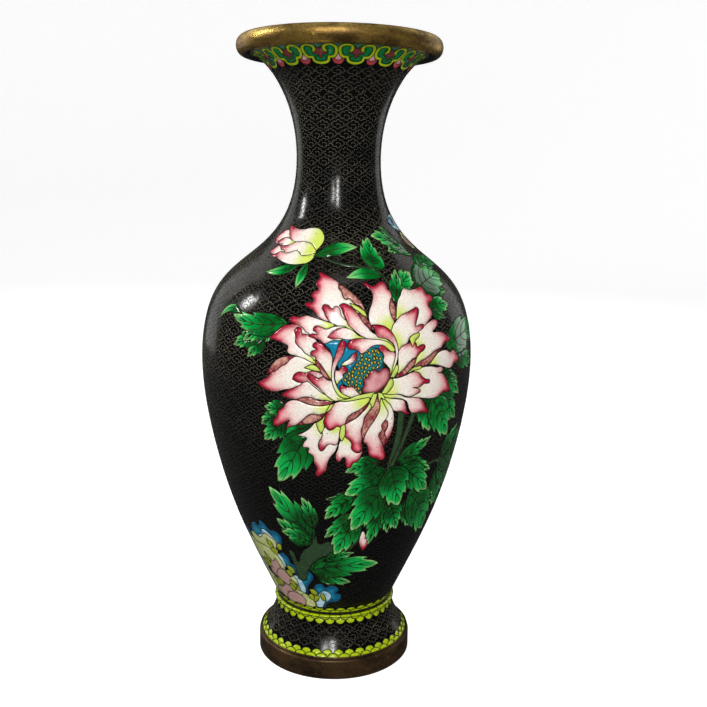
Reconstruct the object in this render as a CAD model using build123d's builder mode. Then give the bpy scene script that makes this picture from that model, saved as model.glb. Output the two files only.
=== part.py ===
from build123d import *

import os
from math import cos, sin, sqrt

# A cloisonne vase. Copper foot, body and neck are raised as three shells and soldered end
# to end, brass rings bind the mouth and the foot, and coloured enamel lies flush between
# thin brass wires all over the outside. The axis is +Z, the origin is the middle of the
# foot's resting face, and the main flower faces -Y. All sizes are in millimetres.

# Heights, each measured up from the piece below it
foot_ring_height = 12.5
foot_rise = 24.5        # foot ring to the waist seam
body_rise = 153.0       # waist seam to the widest place of the belly
shoulder_rise = 118.0   # belly to the narrowest place of the neck
mouth_rise = 64.0       # neck to the end of the flared lip

# Outer radii of the finished enamel surface
foot_radius = 47.2
waist_radius = 36.0
belly_radius = 82.6
neck_radius = 25.2
lip_radius = 55.5

# Layers of the wall, from the outside in
enamel_thickness = 1.2
copper_thickness = 1.2
lining_thickness = 0.6

# Brass rings and wires
rim_rise = 8.0            # end of the lip to the top of the rim ring
rim_ring_half_width = 3.95
rim_ring_half_height = 5.25
rim_grip = 3.0            # how far the copper lip reaches into the rim ring
foot_ring_overhang = 1.4  # foot ring outside the enamel above it
foot_ring_ledge = 2.0     # foot ring inside the copper that stands on it
foot_ring_rounding = 1.8
waist_wire_radius = 0.8
lip_wire_radius = 0.7
foot_wire_radius = 0.7
cloison_thickness = 0.6   # brass wire round a motif, seen on edge

# Bottom plate inside the foot
base_recess = 5.0         # space under the finished bottom plate
base_thickness = 1.2
base_enamel_thickness = 0.8

# Enamel bands
shoulder_seam_rise = 66.0       # belly up to the seam between the body and neck shells
ruyi_border_drop = 12.0         # lip down to the tips of the cloud-head border
body_border_height = 4.6        # scale border above the waist seam
upper_foot_border_height = 6.2  # scale border below the waist seam
lower_foot_border_height = 4.7  # scale border above the foot ring

# Motifs are drawn in millimetres round a belly of this radius, and in millimetres above
# a waist at this height, on a wall this tall from waist to neck
drawing_radius = 82.5
drawing_waist = 37.0
drawing_rise = 271.0

waist_height = foot_ring_height + foot_rise
belly_height = waist_height + body_rise
neck_height = belly_height + shoulder_rise
lip_height = neck_height + mouth_rise
shoulder_seam_height = belly_height + shoulder_seam_rise
copper_depth = enamel_thickness + copper_thickness
wall_thickness = copper_depth + lining_thickness
top_of_all = lip_height + rim_rise

# How the wall curves from one named place to the next: (share of the rise, share of the
# change in radius)
foot_shape = [(0.0, 0.0), (0.19, 0.31), (0.47, 0.65), (0.75, 0.875), (1.0, 1.0)]
body_shape = [(0.0, 0.0), (0.15, 0.23), (0.41, 0.594), (0.706, 0.873)]
shoulder_shape = [(0.0, 0.0), (0.212, 0.038), (0.381, 0.167), (0.508, 0.406), (0.61, 0.66),
                  (0.746, 0.876)]
mouth_shape = [(0.0, 0.0), (0.42, 0.09), (0.69, 0.307), (0.845, 0.52), (0.94, 0.72),
               (0.985, 0.885), (1.0, 1.0)]
wall_stations = 30
overrun = 6.0  # how far the curves run on past the seams they are trimmed to


def stretch(shape, low_radius, low_height, high_radius, high_height):
    """Puts a list of shares between two places of the wall."""
    return [(low_radius + across * (high_radius - low_radius), low_height + up * (high_height - low_height))
            for up, across in shape]


foot_wall = Spline(*stretch(foot_shape, foot_radius, foot_ring_height, waist_radius, waist_height))
body_wall = Spline(
    *stretch(body_shape, waist_radius, waist_height, belly_radius, belly_height),
    *stretch(shoulder_shape, belly_radius, belly_height, neck_radius, neck_height),
    *stretch(mouth_shape, neck_radius, neck_height, lip_radius, lip_height),
)


def wall_points(curve, depth):
    """Points along a wall curve, this deep under the enamel surface. Each wall runs on
    past its lower end, and the foot's past its upper end too, to be trimmed at a seam."""
    points = []
    for station in range(wall_stations + 1):
        along = station / wall_stations
        tangent = curve.tangent_at(along)
        inward = Vector(-tangent.Y, tangent.X)
        points.append(curve.position_at(along) + inward * depth)
    points.insert(0, points[0] - curve.tangent_at(0) * overrun)
    if curve is foot_wall:
        points.append(points[-1] + curve.tangent_at(1) * overrun)
    return points


def layer_section(curve, outer_depth, inner_depth, low, high):
    """Half section of one layer of a wall between two heights."""
    with BuildSketch() as section:
        with BuildLine():
            outside = Spline(*wall_points(curve, outer_depth))
            inside = Spline(*wall_points(curve, inner_depth))
            Line(outside @ 0, inside @ 0)
            Line(outside @ 1, inside @ 1)
        make_face()
        with Locations((0, low)):
            Rectangle(4 * belly_radius, high - low, align=(Align.CENTER, Align.MIN), mode=Mode.INTERSECT)
    return section.sketch


surface_points = wall_points(body_wall, 0)


def radius_at(height):
    """Radius of the enamel surface of the body or neck at a height."""
    for below, above in zip(surface_points, surface_points[1:]):
        if below.Y <= height <= above.Y:
            share = (height - below.Y) / (above.Y - below.Y)
            return below.X + share * (above.X - below.X)
    return surface_points[-1].X


# --- Copper ---------------------------------------------------------------------------

with BuildPart() as body_shell:
    with BuildSketch(Plane.XZ):
        add(layer_section(body_wall, enamel_thickness, copper_depth, waist_height, shoulder_seam_height))
    revolve(axis=Axis.Z)

with BuildPart() as neck_shell:
    with BuildSketch(Plane.XZ):
        add(layer_section(body_wall, enamel_thickness, copper_depth, shoulder_seam_height, top_of_all))
    revolve(axis=Axis.Z)

with BuildPart() as foot_shell:
    with BuildSketch(Plane.XZ):
        add(layer_section(foot_wall, enamel_thickness, copper_depth, foot_ring_height, waist_height))
    revolve(axis=Axis.Z)

foot_ring_outer = foot_radius + foot_ring_overhang
foot_ring_bore = foot_radius - sqrt(2) * copper_depth - foot_ring_ledge
with BuildPart() as base_disc:
    with BuildSketch(Plane.XY.offset(base_recess + base_enamel_thickness)):
        Circle(foot_ring_bore)
    extrude(amount=base_thickness)

# --- Brass rings and wires ------------------------------------------------------------

rim_centre = (lip_radius - rim_grip + rim_ring_half_width, lip_height + rim_rise - rim_ring_half_height)
with BuildPart() as rim_ring:
    with BuildSketch(Plane.XZ):
        with Locations(rim_centre):
            Ellipse(rim_ring_half_width, rim_ring_half_height)
        add(layer_section(body_wall, enamel_thickness, copper_depth, neck_height, top_of_all),
            mode=Mode.SUBTRACT)
    revolve(axis=Axis.Z)

with BuildPart() as foot_ring:
    with BuildSketch(Plane.XZ):
        with Locations((foot_ring_bore, 0)):
            Rectangle(foot_ring_outer - foot_ring_bore, foot_ring_height, align=(Align.MIN, Align.MIN))
    revolve(axis=Axis.Z)
    outer_edges = foot_ring.edges().filter_by(GeomType.CIRCLE).group_by(SortBy.RADIUS)[-1]
    fillet(outer_edges.sort_by(Axis.Z)[-1], foot_ring_rounding)
    chamfer(foot_ring.edges().group_by(Axis.Z)[0], foot_ring_rounding / 3)

waist_wire_centre = (waist_radius, waist_height)
with BuildPart() as waist_wire:
    with BuildSketch(Plane.XZ):
        with Locations(waist_wire_centre):
            Circle(waist_wire_radius)
    revolve(axis=Axis.Z)

foot_wire_centre = (foot_radius, foot_ring_height + foot_wire_radius)
with BuildPart() as foot_wire:
    with BuildSketch(Plane.XZ):
        with Locations(foot_wire_centre):
            Circle(foot_wire_radius)
    revolve(axis=Axis.Z)

lip_wire_place = body_wall @ (1 - (rim_grip + 2 * lip_wire_radius) / body_wall.length)
lip_wire_centre = (lip_wire_place.X, lip_wire_place.Y)
with BuildPart() as lip_wire:
    with BuildSketch(Plane.XZ):
        with Locations(lip_wire_centre):
            Circle(lip_wire_radius)
    revolve(axis=Axis.Z)

# --- Plain enamel layers --------------------------------------------------------------

# (name, wall, bottom height, top height)
enamel_bands = {
    "lower_foot_scale_border": (foot_wall, foot_ring_height, foot_ring_height + lower_foot_border_height),
    "foot_ground_enamel": (foot_wall, foot_ring_height + lower_foot_border_height,
                           waist_height - upper_foot_border_height),
    "upper_foot_scale_border": (foot_wall, waist_height - upper_foot_border_height, waist_height),
    "body_scale_border": (body_wall, waist_height, waist_height + body_border_height),
    "ground_enamel": (body_wall, waist_height + body_border_height, lip_height - ruyi_border_drop),
    "ruyi_border_enamel": (body_wall, lip_height - ruyi_border_drop, top_of_all),
}


def enamel_section(curve, low, high):
    """Half section of an enamel band, clear of every ring and wire set into it."""
    with BuildSketch() as section:
        add(layer_section(curve, 0, enamel_thickness, low, high))
        with Locations(rim_centre):
            Ellipse(rim_ring_half_width, rim_ring_half_height, mode=Mode.SUBTRACT)
        with Locations(waist_wire_centre):
            Circle(waist_wire_radius, mode=Mode.SUBTRACT)
        with Locations(foot_wire_centre):
            Circle(foot_wire_radius, mode=Mode.SUBTRACT)
        with Locations(lip_wire_centre):
            Circle(lip_wire_radius, mode=Mode.SUBTRACT)
    return section.sketch


with BuildPart() as inner_lining:
    with BuildSketch(Plane.XZ):
        add(layer_section(body_wall, copper_depth, wall_thickness, waist_height, top_of_all))
        with Locations(rim_centre):
            Ellipse(rim_ring_half_width, rim_ring_half_height, mode=Mode.SUBTRACT)
    revolve(axis=Axis.Z)

with BuildPart() as base_enamel:
    with BuildSketch(Plane.XY.offset(base_recess)):
        Circle(foot_ring_bore)
    extrude(amount=base_enamel_thickness)

# --- Motifs ---------------------------------------------------------------------------

# Outlines of the picture on the body: (millimetres round the belly from the front,
# height). Each is one field of enamel cells inside a wire of its own.
motif_outlines = {
    "peony_bloom": ("flower_cloisons", [
        (-41, 190), (-33, 200), (-34, 215), (-24, 225), (-14, 232), (-11, 247), (2, 242), (17, 235), (22, 242),
        (36, 243), (41, 237), (52, 239), (65, 237), (64, 222), (78, 210), (82, 200), (73, 195), (74, 183),
        (61, 179), (56, 173), (38, 173), (34, 162), (29, 149), (14, 146), (1, 152), (-7, 140), (-14, 152),
        (-17, 164), (-31, 167), (-28, 178)]),
    "peony_heart": ("flower_cloisons", [
        (3, 188), (0, 202), (6, 212), (22, 211), (31, 205), (30, 192), (18, 184)]),
    "shoulder_bud": ("flower_cloisons", [
        (-84, 265), (-72, 271), (-40, 272), (-16, 270), (-15, 262), (-22, 255), (-40, 254), (-64, 257)]),
    "small_bud": ("flower_cloisons", [
        (21, 93), (25, 97), (28, 93), (26, 86), (22, 87)]),
    "back_blossom": ("flower_cloisons", [
        (-206, 196), (-196, 214), (-180, 216), (-170, 202), (-176, 186), (-194, 182)]),
    "bud_leaf": ("leaf_cloisons", [
        (-8, 262), (6, 265), (20, 262), (6, 260)]),
    "bud_sepals": ("leaf_cloisons", [
        (-54, 248), (-42, 250), (-26, 251), (-21, 242), (-26, 242), (-32, 248)]),
    "shoulder_leaves": ("leaf_cloisons", [
        (24, 258), (34, 265), (46, 266), (62, 272), (74, 270), (86, 262), (70, 259), (52, 262), (44, 258),
        (36, 252)]),
    "upper_leaves": ("leaf_cloisons", [
        (42, 243), (58, 248), (78, 250), (94, 245), (84, 239), (82, 230), (70, 225), (68, 235), (66, 241),
        (50, 242)]),
    "right_leaves": ("leaf_cloisons", [
        (86, 208), (98, 218), (114, 214), (110, 198), (96, 196)]),
    "left_leaves": ("leaf_cloisons", [
        (-80, 224), (-70, 228), (-50, 229), (-28, 223), (-38, 214), (-48, 207), (-60, 210), (-66, 219)]),
    "lower_left_leaves": ("leaf_cloisons", [
        (-41, 160), (-34, 165), (-20, 162), (-16, 150), (-24, 142), (-32, 134), (-39, 145)]),
    "lower_right_leaves": ("leaf_cloisons", [
        (62, 176), (76, 179), (86, 166), (80, 157), (66, 162)]),
    "leaf_cluster": ("leaf_cloisons", [
        (-6, 118), (6, 128), (10, 142), (28, 146), (44, 148), (60, 155), (64, 148), (68, 132), (84, 112),
        (88, 94), (70, 102), (50, 100), (30, 102), (18, 96), (2, 86), (-4, 98), (6, 110)]),
    "side_leaves": ("leaf_cloisons", [
        (78, 140), (88, 154), (112, 150), (126, 132), (110, 106), (94, 122)]),
    "branch_leaves": ("leaf_cloisons", [
        (-42, 127), (-26, 122), (-13, 112), (-14, 100), (-28, 96), (-40, 104), (-32, 112)]),
    "foot_leaves": ("leaf_cloisons", [
        (-14, 76), (0, 82), (24, 83), (43, 76), (28, 70), (16, 64), (-4, 63), (-12, 70)]),
    "back_leaves": ("leaf_cloisons", [
        (-214, 150), (-208, 172), (-190, 178), (-172, 176), (-164, 160), (-176, 146), (-190, 154),
        (-204, 140)]),
    "bud_stem": ("stem_cloisons", [
        (-13, 258), (2, 255), (20, 253), (31, 252), (31, 249), (20, 250), (2, 252), (-13, 256)]),
    "main_stem": ("stem_cloisons", [
        (39, 171), (43, 171), (40, 151), (36, 150)]),
    "branch": ("stem_cloisons", [
        (-36, 75), (-29, 73), (-21, 81), (-8, 86), (-10, 93), (-24, 89), (-33, 83)]),
    "rock": ("rock_cloison", [
        (-150, 46), (-144, 70), (-118, 84), (-96, 88), (-80, 98), (-60, 99), (-44, 92), (-46, 80), (-38, 70),
        (-24, 65), (-10, 59), (7, 54), (0, 48), (-24, 44), (-70, 44), (-110, 44)]),
    "butterfly": ("butterfly_cloison", [
        (84, 275), (100, 284), (124, 285), (146, 282), (170, 275), (150, 268), (140, 258), (124, 262),
        (112, 258), (100, 268)]),
}


def motif_prism(outline, margin):
    """Straight block that cuts one motif out of the wall, grown by a margin."""
    middle = sum(around for around, up in outline) / len(outline) / drawing_radius
    corners = []
    for around, up in outline:
        height = waist_height + (up - drawing_waist) * (body_rise + shoulder_rise) / drawing_rise
        corners.append((radius_at(height) * sin(around / drawing_radius - middle), height))
    facing = Plane((0, 0, 0), x_dir=(cos(middle), sin(middle), 0), z_dir=(sin(middle), -cos(middle), 0))
    with BuildPart() as prism:
        with BuildSketch(facing):
            with BuildLine():
                Polyline(*corners, close=True)
            make_face()
            if margin:
                offset(amount=margin, kind=Kind.INTERSECTION)
        extrude(amount=2 * belly_radius)
    return prism.part


enamel_layers = {}
for name, (curve, low, high) in enamel_bands.items():
    with BuildPart() as layer:
        with BuildSketch(Plane.XZ):
            add(enamel_section(curve, low, high))
        revolve(axis=Axis.Z)
    enamel_layers[name] = layer.part

motif_parts = {}
cloisons = {}
for name, (wire_group, outline) in motif_outlines.items():
    with BuildPart() as cells:
        add(enamel_layers["ground_enamel"])
        add(motif_prism(outline, 0), mode=Mode.INTERSECT)
        if name == "peony_bloom":
            heart = motif_outlines["peony_heart"][1]
            add(motif_prism(heart, cloison_thickness), mode=Mode.SUBTRACT)
    motif_parts[name + "_enamel"] = cells.part
    with BuildPart() as cloison:
        add(enamel_layers["ground_enamel"])
        add(motif_prism(outline, cloison_thickness), mode=Mode.INTERSECT)
        add(motif_prism(outline, 0), mode=Mode.SUBTRACT)
    cloisons.setdefault(wire_group, []).append(cloison.part)

for wire_group, loops in cloisons.items():
    with BuildPart() as wires:
        for loop in loops:
            add(loop)
    motif_parts[wire_group] = wires.part

with BuildPart() as ground_enamel:
    add(enamel_layers["ground_enamel"])
    for wire_group, outline in motif_outlines.values():
        add(motif_prism(outline, cloison_thickness), mode=Mode.SUBTRACT)
enamel_layers["ground_enamel"] = ground_enamel.part

# --- Files ----------------------------------------------------------------------------

pieces = {
    "body_shell": body_shell.part,
    "neck_shell": neck_shell.part,
    "foot_shell": foot_shell.part,
    "base_disc": base_disc.part,
    "rim_ring": rim_ring.part,
    "foot_ring": foot_ring.part,
    "waist_wire": waist_wire.part,
    "foot_wire": foot_wire.part,
    "lip_wire": lip_wire.part,
    "inner_lining": inner_lining.part,
    "base_enamel": base_enamel.part,
    **enamel_layers,
    **motif_parts,
}
os.makedirs("parts", exist_ok=True)
for name, piece in pieces.items():
    piece.label = name
    export_step(piece, "parts/" + name + ".step")
print(len(pieces), "pieces")
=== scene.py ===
# %% [markdown]
# # A cloisonne vase
# The real vase is a copper vessel. Thin brass wires, the cloisons, are bent into outlines and stood on the
# copper, each field between them is filled with ground glass, and the piece is fired and ground flush.
# The CAD frame gives the exact wall. Everything here is inlaid on that wall: every petal, leaf, scale and
# cloud is a small closed body of enamel, and every outline between two of them is a strip of wire.

# %% Load the frame
import math
import random

import bpy
import numpy as np
from mathutils import Matrix, Vector
from mathutils.geometry import delaunay_2d_cdt


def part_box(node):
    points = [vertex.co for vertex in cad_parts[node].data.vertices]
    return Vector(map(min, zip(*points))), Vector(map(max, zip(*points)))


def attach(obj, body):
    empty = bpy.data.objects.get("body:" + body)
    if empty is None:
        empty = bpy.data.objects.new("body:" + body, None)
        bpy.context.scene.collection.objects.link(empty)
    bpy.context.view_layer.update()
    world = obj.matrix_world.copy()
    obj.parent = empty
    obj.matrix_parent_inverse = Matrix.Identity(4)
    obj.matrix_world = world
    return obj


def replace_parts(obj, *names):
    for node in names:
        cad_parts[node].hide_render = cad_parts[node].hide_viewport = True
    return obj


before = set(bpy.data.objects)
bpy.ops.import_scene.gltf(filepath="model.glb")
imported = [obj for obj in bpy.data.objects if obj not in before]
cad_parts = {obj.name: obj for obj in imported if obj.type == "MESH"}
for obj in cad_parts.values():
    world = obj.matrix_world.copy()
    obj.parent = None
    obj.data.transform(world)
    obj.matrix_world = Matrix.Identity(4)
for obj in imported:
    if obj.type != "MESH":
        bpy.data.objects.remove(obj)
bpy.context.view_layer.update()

MM = 0.001
random.seed(7)
bpy.context.scene.view_settings.view_transform = "Standard"

# %% [markdown]
# ## The wall
# The outer curve of the vase is read from the CAD enamel. At each height the outermost vertices lie on the
# finished surface, so the largest radius in each thin slice gives the curve. A smooth line through those
# places lets every later piece be finer than the CAD mesh and still lie exactly on it.


# %% Read the outer curve of the body and of the foot
def outer_curve(nodes, slice_height, keep_low, keep_high):
    """(heights, radii) in mm of the outermost vertices of some nodes, slice by slice."""
    points = []
    for name in nodes:
        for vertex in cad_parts[name].data.vertices:
            points.append((vertex.co.z / MM, math.hypot(vertex.co.x, vertex.co.y) / MM))
    best = {}
    for height, radius in points:
        key = round(height / slice_height)
        if key not in best or radius > best[key][1]:
            best[key] = (height, radius)
    found = [best[key] for key in sorted(best) if keep_low <= best[key][0] <= keep_high]
    dropped = True
    while dropped:
        dropped = False
        for i in range(1, len(found) - 1):
            (z0, r0), (z1, r1), (z2, r2) = found[i - 1:i + 2]
            chord = r0 + (r2 - r0) * (z1 - z0) / (z2 - z0)
            if r1 < chord - 0.45:
                found.pop(i)
                dropped = True
                break
    return np.array(found).T


class Wall:
    """A curve of revolution in mm: radius and slope by height, and height by length along the curve."""

    def __init__(self, heights, radii, step):
        slopes = np.gradient(radii, heights)
        fine = np.arange(heights[0], heights[-1], step)
        index = np.clip(np.searchsorted(heights, fine, side="right") - 1, 0, len(heights) - 2)
        span = heights[index + 1] - heights[index]
        t = (fine - heights[index]) / span
        self.z = fine
        self.r = ((2 * t**3 - 3 * t**2 + 1) * radii[index] + (t**3 - 2 * t**2 + t) * span * slopes[index]
                  + (3 * t**2 - 2 * t**3) * radii[index + 1] + (t**3 - t**2) * span * slopes[index + 1])
        self.length = np.concatenate([[0], np.cumsum(np.hypot(np.diff(self.z), np.diff(self.r)))])

    def radius(self, height):
        return np.interp(height, self.z, self.r)

    def height(self, length):
        return np.interp(length, self.length, self.z)

    def along(self, height):
        return np.interp(height, self.z, self.length)

    def place(self, angle, height, lift):
        """Points in metres at an angle round the axis and a height, this many mm above the enamel."""
        angle, height = np.asarray(angle, float), np.asarray(height, float)
        radius = self.radius(height)
        normal_r, normal_z = self.normal(height)
        out = radius + lift * normal_r
        return np.stack([out * np.sin(angle), -out * np.cos(angle), height + lift * normal_z], -1) * MM

    def normal(self, height):
        """Outward normal as (radial part, upward part)."""
        reach = 0.8
        rise = self.radius(height + reach) - self.radius(height - reach)
        run = np.clip(height + reach, self.z[0], self.z[-1]) - np.clip(height - reach, self.z[0], self.z[-1])
        size = np.hypot(rise, run)
        return run / size, -rise / size


waist_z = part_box("body_scale_border")[0].z / MM
lip_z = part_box("ruyi_border_enamel")[1].z / MM - 1.0
foot_top_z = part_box("foot_ring")[1].z / MM
body = Wall(*outer_curve(["ground_enamel", "body_scale_border", "ruyi_border_enamel"], 0.5, waist_z, lip_z), 0.1)
foot = Wall(*outer_curve(["foot_ground_enamel", "upper_foot_scale_border", "lower_foot_scale_border"],
                         0.5, foot_top_z, waist_z), 0.1)
BELLY = float(body.r.max())
print("belly radius", round(BELLY, 2), "neck radius", round(float(body.r[len(body.r) // 2:].min()), 2))

# %% [markdown]
# ## Drawing on the wall
# A maker draws the picture on paper that is wrapped round the belly. The outlines below are drawn the same
# way, as (millimetres round the belly from the front, height in millimetres). A third number marks a sharp
# corner; everywhere else the line is rounded through its points, as bent wire is.


# %% Rounded outlines
def rounded(points, closed=True, step=0.7):
    """A dense line through given points, with sharp corners only where a third number stands."""
    places = np.array([point[:2] for point in points], float)
    sharp = [len(point) > 2 for point in points]
    count = len(points)
    line = []
    for i in range(count if closed else count - 1):
        a, b = places[i], places[(i + 1) % count]
        before = places[i - 1] if closed or i else a
        after = places[(i + 2) % count] if closed or i + 2 < count else b
        chord = np.linalg.norm(b - a)
        lead = b - a if sharp[i] else b - before
        tail = b - a if sharp[(i + 1) % count] else after - a
        lead = lead / (np.linalg.norm(lead) + 1e-9) * chord
        tail = tail / (np.linalg.norm(tail) + 1e-9) * chord
        pieces = max(2, int(math.ceil(chord / step)))
        for k in range(pieces):
            t = k / pieces
            line.append((2 * t**3 - 3 * t**2 + 1) * a + (t**3 - 2 * t**2 + t) * lead
                        + (3 * t**2 - 2 * t**3) * b + (t**3 - t**2) * tail)
    if not closed:
        line.append(places[-1])
    return np.array(line)


def inside(points, outline):
    """Which points lie inside a closed outline."""
    x, y = points[:, 0:1], points[:, 1:2]
    ax, ay = outline[:, 0], outline[:, 1]
    bx, by = np.roll(ax, -1), np.roll(ay, -1)
    crosses = (ay > y) != (by > y)
    with np.errstate(divide="ignore", invalid="ignore"):
        where = ax + (y - ay) * (bx - ax) / (by - ay)
    return (crosses & (x < where)).sum(1) % 2 == 1


AT_ONCE = 2000  # points measured together, which keeps the tables small


def distance_to(points, outline):
    """Shortest distance from each point to a closed outline."""
    a, b = outline, np.roll(outline, -1, 0)
    best = np.full(len(points), 1e9)
    for start in range(0, len(points), AT_ONCE):
        p = points[start:start + AT_ONCE, None, :]
        run = b - a
        t = np.clip(((p - a) * run).sum(-1) / ((run**2).sum(-1) + 1e-12), 0, 1)
        near = a + t[..., None] * run
        best[start:start + AT_ONCE] = np.sqrt(((p - near) ** 2).sum(-1)).min(1)
    return best


print("a rounded square of 10 mm has", len(rounded([(0, 0), (10, 0), (10, 10), (0, 10)])), "points")


# %% [markdown]
# ## Filling the cells
# Cells are listed from the back of the picture to the front, as petals overlap. One triangulation takes
# all the outlines at once, and each triangle belongs to the front-most cell that holds it. So neighbouring
# cells share their border exactly, as they do on the vase, and the wire goes on that border. Each cell
# keeps two measures for its colours: how far a place is from the cell's edge, and how far along it is from
# the place where a petal or leaf grows.


# %% Cells and their triangles
ENAMEL_LIFT, WIRE_LIFT, SINK = 0.12, 0.17, 0.5  # mm above the wall, and into it
NO_POINT_NEARER = 0.45  # mm from an outline to the grid inside it
GRID_ROW = 0.866  # row height of a grid of even triangles


class Cell:
    """One field of glass: its piece, its outline, where it grows from, its wire and its tone."""

    def __init__(self, piece, outline, base=None, wire="flower", tone=0.0):
        self.piece, self.outline, self.wire, self.tone = piece, outline, wire, tone
        self.low, self.high = outline.min(0), outline.max(0)
        self.base = np.array(outline.mean(0) if base is None else base, float)
        self.reach = np.linalg.norm(outline - self.base, axis=1).max()
        self.shade = random.random()

    def near(self, points):
        """Which points lie in the rectangle round the cell."""
        return ((points > self.low) & (points < self.high)).all(1)


def triangulate(cells, grid):
    """Splits the plane by all outlines. Returns points, triangles and the owner of each triangle."""
    points, edges = [], []
    for cell in cells:
        first = len(points)
        count = len(cell.outline)
        points.extend(cell.outline.tolist())
        edges.extend((first + k, first + (k + 1) % count) for k in range(count))
    border = np.array(points)
    low, high = border.min(0), border.max(0)
    columns = np.arange(low[0], high[0], grid)
    rows = np.arange(low[1], high[1], grid * GRID_ROW)
    mesh = np.array([(x + (grid / 2 if k % 2 else 0), y) for k, y in enumerate(rows) for x in columns])
    wanted = np.zeros(len(mesh), bool)
    for cell in cells:
        near = cell.near(mesh) & ~wanted
        wanted[np.flatnonzero(near)[inside(mesh[near], cell.outline)]] = True
    mesh = mesh[wanted]
    keys = {(round(x / NO_POINT_NEARER), round(y / NO_POINT_NEARER)) for x, y in border}
    mesh = [p for p in mesh if not any(
        (round(p[0] / NO_POINT_NEARER) + i, round(p[1] / NO_POINT_NEARER) + j) in keys
        for i in (-1, 0, 1) for j in (-1, 0, 1))]
    points.extend(np.array(mesh).tolist())
    found = delaunay_2d_cdt([Vector(p) for p in points], edges, [], 0, 1e-4)
    places = np.array([v[:] for v in found[0]])
    triangles = np.array(found[2])
    centres = places[triangles].mean(1)
    owner = np.full(len(triangles), -1)
    for number, cell in enumerate(cells):
        near = np.flatnonzero(cell.near(centres))
        owner[near[inside(centres[near], cell.outline)]] = number
    return places, triangles, owner


# %% Pieces, closed sheets of glass and wires
def new_piece(name, vertices, faces, material, measures=None):
    """A mesh object in metres that rides on the vase, with per-vertex measures for its material."""
    mesh = bpy.data.meshes.new(name)
    mesh.from_pydata([tuple(v) for v in vertices], [], [tuple(f) for f in faces])
    for key, values in (measures or {}).items():
        layer = mesh.attributes.new(key, "FLOAT", "POINT")
        layer.data.foreach_set("value", np.asarray(values, np.float32))
    mesh.polygons.foreach_set("use_smooth", [True] * len(mesh.polygons))
    piece = bpy.data.objects.new(name, mesh)
    bpy.context.scene.collection.objects.link(piece)
    mesh.materials.append(material)
    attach(piece, "root")
    return piece


def closed_sheet(places, triangles, place):
    """A thin closed body over some triangles: its face, its back inside the wall, and its sides."""
    used, local = np.unique(triangles, return_inverse=True)
    local = local.reshape(triangles.shape)
    top = place(places[used, 0], places[used, 1], ENAMEL_LIFT)
    back = place(places[used, 0], places[used, 1], -SINK)
    count = len(used)
    faces = [tuple(t) for t in local] + [tuple(t[::-1] + count) for t in local]
    directed = {(t[i], t[(i + 1) % 3]) for t in local.tolist() for i in range(3)}
    for a, b in directed:
        if (b, a) not in directed:
            faces.append((b, a, a + count, b + count))
    return used, np.concatenate([top, back]), faces


def wire_chains(triangles, owner, cells):
    """Lines of vertices along every border between two cells, split by the wire they belong to."""
    sides = {}
    for triangle, number in zip(triangles.tolist(), owner.tolist()):
        for i in range(3):
            a, b = triangle[i], triangle[(i + 1) % 3]
            sides.setdefault((min(a, b), max(a, b)), []).append(number)
    links = {}
    for (a, b), owners in sides.items():
        if len(owners) == 1:
            owners = owners + [-1]
        if owners[0] != owners[1]:
            kind = cells[max(owners)].wire
            links.setdefault(kind, {}).setdefault(a, set()).add(b)
            links[kind].setdefault(b, set()).add(a)
    chains = {}
    for kind, net in links.items():
        done = set()
        starts = [v for v in net if len(net[v]) != 2] + list(net)
        for start in starts:
            for step in sorted(net[start]):
                if (start, step) in done:
                    continue
                chain = [start, step]
                done.update({(start, step), (step, start)})
                while len(net[chain[-1]]) == 2:
                    following = [v for v in net[chain[-1]] if (chain[-1], v) not in done]
                    if not following:
                        break
                    done.update({(chain[-1], following[0]), (following[0], chain[-1])})
                    chain.append(following[0])
                chains.setdefault(kind, []).append(chain)
    return chains


TAPER_END = 0.35  # a vein's width at its tip, as a share of its width at its root


def wire_strip(line, place, width, lift=WIRE_LIFT, depth=SINK, taper=False):
    """Vertices and faces of one flat wire standing in the enamel along a line of (round, height)."""
    closed = np.allclose(line[0], line[-1]) and len(line) > 3
    if closed:
        line = line[:-1]
    centre = place(line[:, 0], line[:, 1], 0.0)
    normal = place(line[:, 0], line[:, 1], 1.0) - centre
    normal /= np.linalg.norm(normal, axis=1)[:, None]
    if closed:
        ahead = np.roll(centre, -1, 0) - np.roll(centre, 1, 0)
    else:
        ahead = np.gradient(centre, axis=0)
    side = np.cross(ahead, normal)
    side /= np.linalg.norm(side, axis=1)[:, None] + 1e-12
    half = np.full(len(line), width * MM / 2)
    if taper:
        half *= np.linspace(1.0, TAPER_END, len(line))
    side *= half[:, None]
    up, down = normal * lift * MM, -normal * depth * MM
    rings = np.stack([centre + side + up, centre - side + up, centre - side + down, centre + side + down], 1)
    count = len(line)
    faces = []
    for k in range(count if closed else count - 1):
        n = (k + 1) % count
        for j in range(4):
            m = (j + 1) % 4
            faces.append((4 * k + j, 4 * n + j, 4 * n + m, 4 * k + m))
    if not closed:
        faces.append((0, 1, 2, 3))
        faces.append((4 * count - 1, 4 * count - 2, 4 * count - 3, 4 * count - 4))
    return rings.reshape(-1, 3), faces


# %% Many small bodies in one piece
class Bundle:
    """Collects many small bodies into one piece."""

    def __init__(self):
        self.vertices, self.faces, self.measures, self.size = [], [], {}, 0

    def add(self, vertices, faces, **measures):
        self.vertices.append(vertices)
        self.faces.extend(tuple(int(i) + self.size for i in face) for face in faces)
        self.size += len(vertices)
        for key, values in measures.items():
            self.measures.setdefault(key, []).append(np.broadcast_to(values, len(vertices)))

    def piece(self, name, slot, material):
        measures = {key: np.concatenate(values) for key, values in self.measures.items()}
        return new_piece(name, np.concatenate(self.vertices), self.faces, material, measures)


def ring_place(wall, radius):
    """Places on a wall from millimetres round a circle of some radius, and height."""
    return lambda around, height, lift: wall.place(np.asarray(around) / radius, height, lift)


on_body = ring_place(body, BELLY)


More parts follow.
